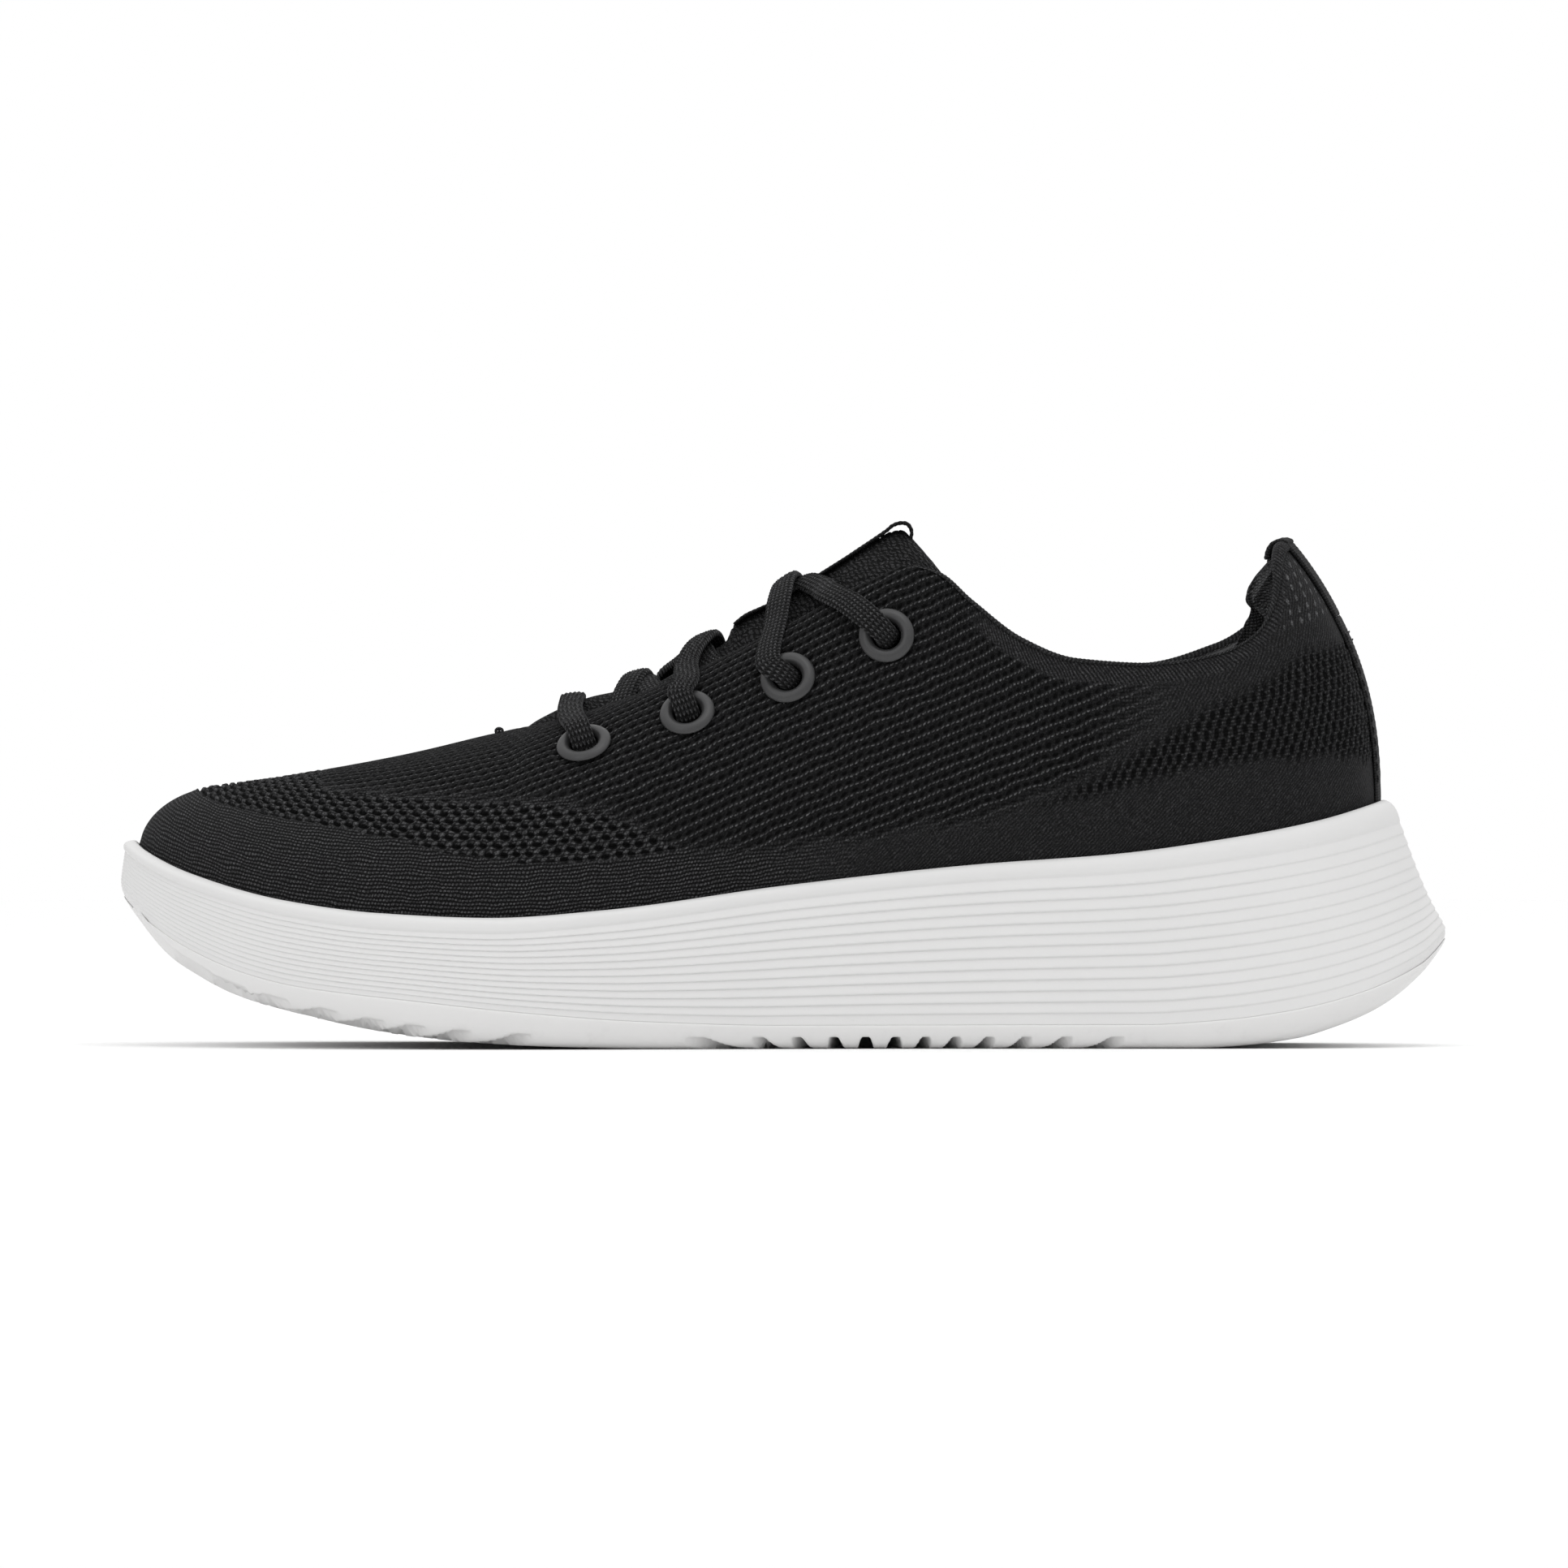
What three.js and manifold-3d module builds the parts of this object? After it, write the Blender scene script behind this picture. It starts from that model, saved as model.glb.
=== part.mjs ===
// Running shoe for the left foot: knit upper, ribbed foam midsole, rubber outsole, laced over a knit tongue.
//
// Millimetres, +Z up. +X points to the heel and -X to the toe. -Y is the lateral (outer) side, +Y the medial
// (inner) side. The origin is on the ground, under the middle of the shoe.
//
// The sole unit and the insole are cut across the ball of the foot, because the forefoot bends there.
import * as THREE from "three";
import Module from "manifold-3d";

// ---------- Driving dimensions ----------

const KNIT = 1.6; // thickness of the knit upper
const GAP = 0.3; // gap left between pieces that touch
const RIM_LIP = 2; // width of the midsole's rim around the upper
const FLEX = { x: -80, z: 26, angle: 25 }; // forefoot hinge line and its bend in degrees
const STATIONS = 20; // outline points down each side of a sole piece

// Widest outline of the sole in plan: from the back of the heel by the lateral side to the toe, and back.
const SOLE_OUTLINE = [
  [150, -1], [143, -24], [125, -37.5], [95, -42], [50, -42], [10, -44], [-25, -49], [-57, -53.8],
  [-88, -51], [-116, -39], [-138, -19], [-148.5, -1], [-150, 12], [-144, 27], [-126, 43], [-98, 52],
  [-66, 54], [-36, 50.5], [0, 43], [38, 38], [78, 38.5], [112, 36.5], [135, 26], [146, 13],
];
// Inset from the widest outline to the top edge of the rim, as [x, inset]: the sole flares most at the heel.
const RIM_INSET = [[-150, 1.8], [-60, 3.2], [0, 4.6], [60, 5.5], [110, 7.5], [135, 11], [150, 13.6]];

// Heights along the shoe, as [x, z].
const RIM_Z = [
  [-148.5, 47], [-144.5, 43.9], [-133.5, 38.8], [-111.6, 32.9], [-89.7, 30.1], [-65, 29.1], [-40, 30.8],
  [0, 36.2], [42, 40.8], [75, 43.3], [100, 46.8], [120, 50.7], [138, 56],
];
const PARTING_Z = [
  [-150, 34.6], [-145, 29.8], [-132.6, 21.9], [-119.5, 16.6], [-108, 13.9], [-82, 10.8], [-57.6, 8.2],
  [-31, 6.2], [0, 5.3], [80, 5.4], [97, 6.4], [112, 8.4], [127, 12], [142.3, 18.6], [150, 25.4],
];
const GROUND_Z = [
  [-150, 34], [-137.8, 20.3], [-131, 16], [-123.5, 12.2], [-114, 9.2], [-104, 6.8], [-96, 5], [-82, 2.8],
  [-66, 1.3], [-45, 0.4], [-25, 0], [90, 0], [100, 0.5], [113.8, 2.2], [122.3, 4.6], [132.4, 8.8],
  [142.3, 15.9], [150, 24.4],
];
const FOOTBED_Z = [
  [-147, 35.5], [-138, 31.5], [-125, 27], [-111.6, 23.5], [-89.7, 20], [-65, 18.6], [-40, 19.4],
  [0, 23], [42, 26.6], [75, 28.8], [100, 30], [136, 30.8],
];

// Top edge of the upper for one side, as [station, x, centre y, half gap, z, medial lift]. Station 0 is the
// back of the heel and station 1 the tip of the toe; where the half gap is 0 the sides meet on the vamp's ridge.
const TOP_LINE = [
  [0, 113.5, -1, 0, 113.7, 0], [0.05, 111.8, -1, 5.5, 113, 0], [0.1, 110.6, -1, 11, 109.5, 0],
  [0.15, 110, -1, 16.5, 101.5, 0.2], [0.2, 107, -1, 21.5, 94, 0.3], [0.25, 97.5, -1, 26, 88, 0.4],
  [0.3055, 80, -1, 28, 85.6, 0.4], [0.34, 65, -1, 28.5, 86.6, 0.4], [0.37, 53, -0.5, 28, 91.2, 0.4],
  [0.4, 42, 0, 27, 99.6, 0.3], [0.425, 34, 0, 25.5, 106.2, 0.2], [0.44, 27.5, 0, 24, 107.6, 0.2],
  [0.457, 20, 0, 21.5, 104.8, 0.1], [0.487, 5, 0, 18, 97, 0], [0.52, -12, 0, 15, 88.2, 0],
  [0.5551, -28, 0.5, 14.4, 81, 0], [0.59, -43, 1, 11, 75.6, 0], [0.62, -55, 1.5, 6.5, 72.3, 0],
  [0.6333, -62, 2, 0, 70.8, 0], [0.7043, -82, 3, 0, 66.2, 0], [0.7829, -99, 4, 0, 62.7, 0],
  [0.8704, -112, 5.5, 0, 60.4, 0], [0.9399, -120, 6.5, 0, 59.2, 0], [1, -124, 7, 0, 58.6, 0],
];
const THROAT_STATION = 0.6333; // where the throat opening ends and the ridge of the vamp begins

// How the wall curves from rim to top edge: (1 - inward)^a + upward^b = 1, as [station, a] and [station, b].
const CURVE_IN = [[0, 1], [0.2, 1.2], [0.35, 1.3], [0.5, 1.6], [0.63, 2], [1, 2]];
const CURVE_UP = [[0, 2.4], [0.2, 2.2], [0.35, 2], [1, 2]];

// Centre line of the tongue, as [station, x, z].
const TONGUE_LINE = [
  [0.402, 26.4, 116.8], [0.425, 20, 113.4], [0.44, 15, 109.8], [0.457, 9, 105.9], [0.487, -2, 99.2],
  [0.505, -9.5, 94.2], [0.513, -12.5, 90.8], [0.524, -16, 87.4], [0.5551, -30, 79.2], [0.59, -44, 76.2],
  [0.615, -55, 71.8], [0.6333, -62, 68.2], [0.65, -69, 65.4],
];

const EYELET = { flange: 6.2, hole: 3.2, barrel: 3.8, cut: 4.1, washer: 5.6 }; // radii
const EYELET_SPOTS = [[-44.3, 67.3], [-21.3, 74], [1.2, 81.9], [23.1, 91.6]]; // [x, z], toe to ankle
// The lace is an oval band: as it lies open, flattened under the eyestay, and gathered in an eyelet.
const LACE = { open: [5.8, 2.2], flat: [5.6, 1.5], gathered: [4.4, 2.2] }; // [width, thickness]
const LACE_CROWNS = [-31, -18, 6]; // x of the three crossings over the tongue

// Two fans of radial tread grooves: [centre x, centre y, first angle, last angle, count] on the lateral side.
const TREAD_FANS = [[-108, 0, -148, -38, 9], [18, 0, -122, -38, 11]];
// A groove's distances from the centre of its fan: where it starts and ends, and where it crosses the edge.
const GROOVE = { width: 3.2, depth: 3.4, inner: 17, outer: 80, edge: 46 };

const LINER_DEPTH = KNIT + 1.5 * GAP; // the outer face of whatever lies against the inside of the knit
const COUNTER = 1.2; // thickness of the heel counter
const PAD = 5; // thickness of the collar's padding
const COVER = 0.8; // thickness of the lining over it
const TAPE = { half: 0.035, thickness: 0.9 }; // the heel's tapes: half width as a share of the outline
const HEEL_LOOP = { low: 0.47, high: 0.93, bow: 1 }; // heights of its ends, and how far it stands off
// The tongue's first and last station, and the depth and height at which its sides lie under the upper.
const TONGUE = { base: 0.648, tip: 0.404, depth: 6.4, edge: 0.57 };
const TONGUE_LOOP = { width: 11, thickness: 0.7 };

// ---------- Curves and outlines ----------

/** Monotone cubic through [x, y] points: it never rises above or dips below them. */
function curveThrough(points) {
  const last = points.length - 1;
  const slope = (i) => (points[i + 1][1] - points[i][1]) / (points[i + 1][0] - points[i][0]);
  const tangent = points.map((_, i) => {
    if (i === 0) return slope(0);
    if (i === last) return slope(last - 1);
    const [before, after] = [slope(i - 1), slope(i)];
    return before * after <= 0 ? 0 : (2 * before * after) / (before + after);
  });
  return (x) => {
    let i = 0;
    while (i < last - 1 && x > points[i + 1][0]) i++;
    const h = points[i + 1][0] - points[i][0];
    const t = THREE.MathUtils.clamp((x - points[i][0]) / h, 0, 1);
    const [t2, t3] = [t * t, t * t * t];
    return (
      (2 * t3 - 3 * t2 + 1) * points[i][1] + (t3 - 2 * t2 + t) * h * tangent[i] +
      (3 * t2 - 2 * t3) * points[i + 1][1] + (t3 - t2) * h * tangent[i + 1]
    );
  };
}

/** One curve per column of a table whose first column is the parameter. */
const columnsOf = (table) =>
  table[0].slice(1).map((_, k) => curveThrough(table.map((row) => [row[0], row[k + 1]])));

const rimInset = curveThrough(RIM_INSET);
const rimZ = curveThrough(RIM_Z);
const partingZ = curveThrough(PARTING_Z);
const groundZ = curveThrough(GROUND_Z);
const footbedZ = curveThrough(FOOTBED_Z);
const [topX, topCentre, topHalfGap, topZ, topLift] = columnsOf(TOP_LINE);
const curveIn = curveThrough(CURVE_IN);
const curveUp = curveThrough(CURVE_UP);
const [tongueX, tongueZ] = columnsOf(TONGUE_LINE);

/** The sole's plan outline moved inwards by inset(x), as { lateral, medial } lists of Vector2 sorted by x. */
function outline(inset) {
  const loop = new THREE.CatmullRomCurve3(SOLE_OUTLINE.map(([x, y]) => new THREE.Vector3(x, y, 0)), true);
  const count = 480;
  const points = [];
  for (let i = 0; i < count; i++) {
    const p = loop.getPoint(i / count);
    const along = loop.getTangent(i / count);
    const d = inset(p.x);
    points.push(new THREE.Vector2(p.x + along.y * d, p.y - along.x * d));
  }
  const byX = (a, b) => a.x - b.x;
  const tip = points.reduce((a, b) => (b.x < a.x ? b : a));
  const back = points.reduce((a, b) => (b.x > a.x ? b : a));
  const middleY = (x) => THREE.MathUtils.mapLinear(x, back.x, tip.x, back.y, tip.y);
  const lateral = points.filter((p) => p.y < middleY(p.x)).concat(tip, back).sort(byX);
  const medial = points.filter((p) => p.y >= middleY(p.x)).concat(tip, back).sort(byX);
  return { lateral, medial, tip, back };
}

/** y of one side of an outline at x. */
function yAt(side, x) {
  let i = 1;
  while (i < side.length - 1 && side[i].x < x) i++;
  const [a, b] = [side[i - 1], side[i]];
  const share = b.x > a.x ? THREE.MathUtils.clamp((x - a.x) / (b.x - a.x), 0, 1) : 1;
  return THREE.MathUtils.lerp(a.y, b.y, share);
}

/** x of a station on an outline: stations crowd together at the heel and the toe, where the outline turns. */
const stationX = (shape, c) =>
  THREE.MathUtils.lerp(shape.back.x, shape.tip.x, (1 - Math.cos(Math.PI * c)) / 2);

/** A ring of points round an outline at height z(x): heel, medial side, toe, lateral side. */
function ringAt(shape, z) {
  const ring = [];
  for (let i = 0; i < 2 * STATIONS; i++) {
    const c = i <= STATIONS ? i / STATIONS : 2 - i / STATIONS;
    const x = stationX(shape, c);
    ring.push(new THREE.Vector3(x, yAt(i <= STATIONS ? shape.medial : shape.lateral, x), z(x)));
  }
  return ring;
}

// ---------- Solids ----------

const wasm = await Module();
wasm.setup();

/** A BufferGeometry from a list of Vector3 and a list of vertex triples. */
function geometryOf(points, triangles) {
  const geometry = new THREE.BufferGeometry().setFromPoints(points);
  geometry.setIndex(triangles.flat());
  return geometry;
}

/** Rings stacked into a closed solid. Each cap is a strip of quads across the ring: it bends only along x. */
function stackRings(rings) {
  const count = 2 * STATIONS;
  const triangles = [];
  const quad = (a, b, c, d) => triangles.push([a, b, c], [a, c, d]);
  for (let k = 0; k < rings.length - 1; k++)
    for (let i = 0; i < count; i++) {
      const next = (i + 1) % count;
      quad(k * count + i, k * count + next, (k + 1) * count + next, (k + 1) * count + i);
    }
  const top = (rings.length - 1) * count;
  for (let i = 0; i < STATIONS; i++) {
    const [a, b, c, d] = [i, i + 1, count - i - 1, (count - i) % count];
    if (a === d) triangles.push([b, a, c], [top + a, top + b, top + c]);
    else if (b === c) triangles.push([a, d, b], [top + b, top + d, top + a]);
    else {
      quad(d, c, b, a);
      quad(top + a, top + b, top + c, top + d);
    }
  }
  return geometryOf(rings.flat(), triangles);
}

const toManifold = (geometry) => {
  const points = new Map();
  const position = geometry.getAttribute("position");
  const order = geometry.index ? [...geometry.index.array] : [...Array(position.count).keys()];
  const vertices = [];
  const merged = order.map((i) => {
    const p = [position.getX(i), position.getY(i), position.getZ(i)];
    const key = p.map((value) => Math.round(value * 1e4)).join();
    if (!points.has(key)) {
      points.set(key, points.size);
      vertices.push(...p);
    }
    return points.get(key);
  });
  const kept = [];
  for (let i = 0; i < merged.length; i += 3) {
    const [a, b, c] = merged.slice(i, i + 3);
    if (a !== b && b !== c && a !== c) kept.push(a, b, c);
  }
  const mesh = { numProp: 3, vertProperties: new Float32Array(vertices), triVerts: new Uint32Array(kept) };
  return new wasm.Manifold(new wasm.Mesh(mesh));
};

const fromManifold = (solid) => {
  const mesh = solid.getMesh();
  const geometry = new THREE.BufferGeometry();
  geometry.setAttribute("position", new THREE.BufferAttribute(new Float32Array(mesh.vertProperties), 3));
  geometry.setIndex(new THREE.BufferAttribute(mesh.triVerts, 1));
  return geometry;
};

/** A geometry with each of the cutters taken away. */
const cutBy = (geometry, cutters) =>
  fromManifold(cutters.reduce((solid, cutter) => solid.subtract(toManifold(cutter)), toManifold(geometry)));

/** A closed solid between an open surface and the same surface moved inwards. They share their triangles. */
function solidBetween(outer, inner, triangles) {
  const n = outer.length;
  const edges = new Map();
  for (const [a, b, c] of triangles)
    for (const [p, q] of [[a, b], [b, c], [c, a]]) edges.set(`${p},${q}`, [p, q]);
  const all = [...triangles, ...triangles.map(([a, b, c]) => [a + n, c + n, b + n])];
  for (const [p, q] of edges.values())
    if (!edges.has(`${q},${p}`)) all.push([q, p, p + n], [q, p + n, q + n]);
  return geometryOf([...outer, ...inner], all);
}

const NORMAL_STEP = 0.004;

/** The normal of the surface at(u, v), to the side from which u runs left to right and v upwards. */
function normalOf(at, u, v) {
  const along = at(u + NORMAL_STEP, v).sub(at(u - NORMAL_STEP, v));
  const up = at(u, v + NORMAL_STEP).sub(at(u, v - NORMAL_STEP));
  return along.cross(up).normalize();
}

/** A grid of points as one open surface. Coinciding points are merged, so the two sides of a ridge join. */
function gridSurface(at, us, vs, closed = false) {
  const ids = new Map();
  const surface = { at, points: [], params: [], triangles: [] };
  const idOf = (u, v) => {
    const p = at(u, v);
    const key = [p.x, p.y, p.z].map((value) => Math.round(value * 1e3)).join();
    if (!ids.has(key)) {
      ids.set(key, surface.points.length);
      surface.points.push(p);
      surface.params.push([u, v]);
    }
    return ids.get(key);
  };
  const grid = us.map((u) => vs.map((v) => idOf(u, v)));
  for (let i = 0; i < us.length - (closed ? 0 : 1); i++)
    for (let j = 0; j < vs.length - 1; j++) {
      const next = grid[(i + 1) % us.length];
      const [a, b, c, d] = [grid[i][j], next[j], next[j + 1], grid[i][j + 1]];
      if (a !== b && b !== c && a !== c) surface.triangles.push([a, b, c]);
      if (a !== c && c !== d && a !== d) surface.triangles.push([a, c, d]);
    }
  return surface;
}

/** A surface's points moved in by depth, a number or a function of the two parameters. */
const sunk = (surface, depth) => surface.points.map((p, i) => {
  const [u, v] = surface.params[i];
  const d = typeof depth === "function" ? depth(u, v) : depth;
  return normalOf(surface.at, u, v).multiplyScalar(-d).add(p);
});

/** A slab that follows a surface, from one depth below it to another. */
const slab = (surface, from, to) => solidBetween(sunk(surface, from), sunk(surface, to), surface.triangles);

const spread = (from, to, count) =>
  Array.from({ length: count + 1 }, (_, i) => THREE.MathUtils.lerp(from, to, i / count));

// ---------- The upper's surface ----------

const featherInset = (x) => rimInset(x) + RIM_LIP + 3 * GAP;
const feather = outline(featherInset);

/**
 * A point on the outside of the upper. w runs from the toe (-1) along the lateral side to the heel (0), then
 * along the medial side to the toe (1). v is -1 at the footbed, 0 at the rim and 1 at the top edge.
 */
function upperPoint(w, v) {
  const turn = w > 1 ? w - 2 : w < -1 ? w + 2 : w;
  const c = Math.abs(turn);
  const medial = turn > 0;
  const x = stationX(feather, c);
  const y = yAt(medial ? feather.medial : feather.lateral, x);
  const rim = rimZ(x);
  if (v < 0) return new THREE.Vector3(x, y, THREE.MathUtils.lerp(rim, footbedZ(x) + GAP, -v));
  const angle = (Math.PI / 2) * Math.min(v, 1);
  const up = Math.sin(angle) ** (2 / curveUp(c));
  const inward = 1 - Math.max(Math.cos(angle), 0) ** (2 / curveIn(c));
  const topY = topCentre(c) + (medial ? 1 : -1) * topHalfGap(c);
  const top = topZ(c) + (medial ? topLift(c) : 0);
  return new THREE.Vector3(
    THREE.MathUtils.lerp(x, topX(c), inward),
    THREE.MathUtils.lerp(y, topY, inward),
    THREE.MathUtils.lerp(rim, top, up),
  );
}

const upperNormal = (w, v) => normalOf(upperPoint, w, Math.min(v, 1 - NORMAL_STEP));
const underUpper = (w, v, depth) => upperPoint(w, v).addScaledVector(upperNormal(w, v), -depth);

/** The (w, v) of the point on one side whose side-view position is [x, z]. */
function upperSpot([x, z], side) {
  let best = { error: Infinity };
  const search = (c0, v0, reach, steps) => {
    for (let i = -steps; i <= steps; i++)
      for (let j = -steps; j <= steps; j++) {
        const c = c0 + (reach * i) / steps;
        const v = v0 + (2 * reach * j) / steps;
        const p = upperPoint(side * c, v);
        const error = Math.hypot(p.x - x, p.z - z);
        if (error < best.error) best = { error, c, v };
      }
  };
  search(0.52, 0.7, 0.14, 14);
  for (const reach of [0.02, 0.004, 0.001]) search(best.c, best.v, reach, 4);
  return { w: side * best.c, v: best.v };
}

// ---------- Sole unit ----------

/** Cutters that keep one side of the flex line. The forefoot's also opens a notch for the bend. */
function flexCutters(keepFront) {
  const reach = 400;
  const block = (x) => new THREE.BoxGeometry(reach, reach, reach).translate(x, 0, 0);
  if (!keepFront) return [block(FLEX.x + GAP / 2 - reach / 2)];
  const height = 40;
  const start = 0.2;
  const lean = Math.tan(THREE.MathUtils.degToRad(FLEX.angle + 1)) * height;
  const notch = new THREE.Shape([
    new THREE.Vector2(start, -start), new THREE.Vector2(start, height), new THREE.Vector2(-lean, height),
  ]);
  const wedge = new THREE.ExtrudeGeometry(notch, { depth: reach, bevelEnabled: false });
  wedge.rotateX(Math.PI / 2).translate(FLEX.x - GAP / 2, reach / 2, FLEX.z);
  return [block(FLEX.x - GAP / 2 + reach / 2), wedge];
}

/** Front and rear halves of a piece of the sole unit. */
const splitAtFlex = (geometry) => [cutBy(geometry, flexCutters(true)), cutBy(geometry, flexCutters(false))];

function treadGrooves() {
  const bars = [];
  for (const [cx, cy, first, last, count] of TREAD_FANS)
    for (const side of [-1, 1])
      for (let i = 0; i < count; i++) {
        const angle = THREE.MathUtils.degToRad(-side * THREE.MathUtils.lerp(first, last, i / (count - 1)));
        const length = GROOVE.outer - GROOVE.inner;
        const middle = (GROOVE.outer + GROOVE.inner) / 2;
        const x = cx + middle * Math.cos(angle);
        const y = cy + middle * Math.sin(angle);
        const edgeX = cx + GROOVE.edge * Math.cos(angle);
        const bar = new THREE.BoxGeometry(length, GROOVE.width, 2 * GROOVE.depth);
        const slope = Math.atan2(groundZ(edgeX + 8) - groundZ(edgeX - 8), 16);
        bar.rotateZ(angle).rotateY(-slope).translate(x, y, groundZ(edgeX) + (x - edgeX) * Math.tan(slope));
        bars.push(bar);
      }
  return bars;
}

function outsole() {
  const shape = (inset) => outline(() => inset);
  const between = (share) => (x) => THREE.MathUtils.lerp(groundZ(x), partingZ(x) - GAP, share);
  const block = stackRings([
    ringAt(shape(4.5), groundZ),
    ringAt(shape(1.6), between(0.3)),
    ringAt(shape(0.5), between(0.7)),
    ringAt(shape(0.3), between(1)),
  ]);
  return cutBy(block, treadGrooves());
}

function midsole() {
  const wall = (share) => ringAt(
    outline((x) => rimInset(x) * share),
    (x) => THREE.MathUtils.lerp(partingZ(x), rimZ(x), share),
  );
  const lip = outline((x) => rimInset(x) + RIM_LIP);
  return stackRings([wall(0), wall(0.5), wall(0.97), ringAt(outline((x) => rimInset(x) + 0.8), rimZ),
    ringAt(lip, rimZ), ringAt(lip, footbedZ)]);
}

/** A flat layer on the footbed, from one height above it to another. */
function footbedLayer(inset, from, to) {
  const shape = outline((x) => featherInset(x) + inset);
  return stackRings([ringAt(shape, (x) => footbedZ(x) + from), ringAt(shape, (x) => footbedZ(x) + to)]);
}

// ---------- Upper and its stiffeners ----------

const eyeletSpots = [-1, 1].map((side) => EYELET_SPOTS.map((spot) => upperSpot(spot, side)));
const UP = new THREE.Vector3(0, 0, 1);

/** Moves and turns an object so that its +Z axis stands out of the upper at an eyelet. */
function placeAtEyelet(object, { w, v }, height = 0) {
  const normal = upperNormal(w, v);
  object.position.copy(upperPoint(w, v)).addScaledVector(normal, height);
  object.quaternion.setFromUnitVectors(UP, normal);
  return object;
}

const eyeletCutters = (spots) => spots.map((spot) => {
  const plug = placeAtEyelet(new THREE.Object3D(), spot);
  plug.updateMatrix();
  const bore = new THREE.CylinderGeometry(EYELET.cut, EYELET.cut, 16, 12);
  return bore.rotateX(Math.PI / 2).applyMatrix4(plug.matrix);
});

function knitUpper() {
  const marks = [...spread(0, THROAT_STATION, 20), ...spread(THROAT_STATION, 1, 9).slice(1)];
  const ws = [...marks.slice(1, -1).map((c) => -c).reverse(), ...marks];
  const vs = [-1, ...spread(0, 1, 7)];
  const surface = gridSurface(upperPoint, ws, vs, true);
  return cutBy(slab(surface, 0, KNIT), eyeletCutters(eyeletSpots.flat()));
}

/** A stiffener or pad inside the upper, on a patch of its surface, between two depths. */
const innerPatch = (ws, vs, from, to) => slab(gridSurface(upperPoint, ws, vs), from, to);

/** How much of its depth the heel's padding has at height v: it swells in the middle of the collar. */
const padSwell = (v) => Math.sin(Math.PI * THREE.MathUtils.clamp((v - 0.5) / 0.46, 0, 1)) ** 0.7;

function heelCounter() {
  return innerPatch(spread(-0.24, 0.24, 16), spread(-0.5, 0.46, 5), LINER_DEPTH, LINER_DEPTH + COUNTER);
}

function collarPad(side) {
  const ws = spread(0.1, 0.27, 7).map((c) => side * c).sort((a, b) => a - b);
  const inner = (w, v) => LINER_DEPTH + 0.8 + (PAD - 0.8) * padSwell(v);
  return innerPatch(ws, spread(0.5, 0.95, 6), LINER_DEPTH, inner);
}

function heelLining() {
  const cover = (w, v) => {
    const c = Math.abs(w);
    const along = THREE.MathUtils.smoothstep(c, 0.02, 0.11) * (1 - THREE.MathUtils.smoothstep(c, 0.26, 0.33));
    const swell = along * THREE.MathUtils.smoothstep(v, 0.4, 0.6);
    return LINER_DEPTH + 2 * GAP + COUNTER + (PAD - COUNTER) * swell;
  };
  const surface = gridSurface(upperPoint, spread(-0.36, 0.36, 24), spread(-0.5, 0.97, 8));
  return slab(surface, cover, (w, v) => cover(w, v) + COVER);
}

function eyestay(side, spots) {
  const ws = spread(0.452, 0.604, 7).map((c) => side * c).sort((a, b) => a - b);
  return cutBy(innerPatch(ws, spread(0.62, 0.93, 3), LINER_DEPTH, LINER_DEPTH + 0.5), eyeletCutters(spots));
}

function toePuff() {
  const toe = spread(0.86, 1.14, 12);
  return innerPatch(toe, spread(0.04, 0.8, 5), LINER_DEPTH, LINER_DEPTH + 0.9);
}

/** The tape sewn down the back of the heel, below the pull loop. */
function heelStrip() {
  const surface = gridSurface(upperPoint, spread(-TAPE.half, TAPE.half, 4), spread(0.03, 0.42, 6));
  return slab(surface, -GAP - TAPE.thickness, -GAP);
}

/** The pull loop: a tape sewn at both ends that bows away from the back of the heel. */
function heelLoop() {
  const { low, high } = HEEL_LOOP;
  const bow = (v) => GAP + HEEL_LOOP.bow * Math.sin((Math.PI * (v - low)) / (high - low)) ** 0.8;
  const surface = gridSurface(upperPoint, spread(-TAPE.half, TAPE.half, 4), spread(low, high, 9));
  return slab(surface, (w, v) => -bow(v) - TAPE.thickness, (w, v) => -bow(v));
}

/** The rolled edge round the collar, a thin cord along the top edge from one eyestay corner to the other. */
function collarBinding() {
  const surface = gridSurface(upperPoint, spread(-0.435, 0.435, 36), spread(0.955, 0.998, 1));
  return slab(surface, -GAP - 0.5, -GAP);
}

/** The bar tack that holds the base of the throat. */
function barTack() {
  const c = THROAT_STATION;
  return new THREE.CapsuleGeometry(0.7, 5, 3, 8).translate(topX(c) - 2.2, topCentre(c), topZ(c) + 0.9);
}

// ---------- Tongue ----------

/** A point on the outside of the tongue. c is the station and q runs across it, from -1 (lateral) to 1. */
function tonguePoint(c, q) {
  const edge = (side, v) => underUpper(side * c, v, TONGUE.depth);
  const middle = new THREE.Vector3(tongueX(c), topCentre(c), tongueZ(c));
  const across = [edge(-1, TONGUE.edge), edge(-1, 0.9), middle, edge(1, 0.9), edge(1, TONGUE.edge)];
  return new THREE.CatmullRomCurve3(across).getPoint(THREE.MathUtils.clamp((q + 1) / 2, 0, 1));
}

const tongueNormal = (c, q) => normalOf(tonguePoint, c, q).negate();
const TONGUE_GRID = { across: spread(1, -1, 10), along: spread(TONGUE.base, TONGUE.tip, 15) };

/** A layer of the tongue between two depths under its outer face. It leaves out some of the grid's rows. */
function tongueLayer(skipBase, skipSides, from, to) {
  const across = TONGUE_GRID.across.slice(skipSides, TONGUE_GRID.across.length - skipSides);
  return slab(gridSurface((q, c) => tonguePoint(c, q), across, TONGUE_GRID.along.slice(skipBase)), from, to);
}

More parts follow.
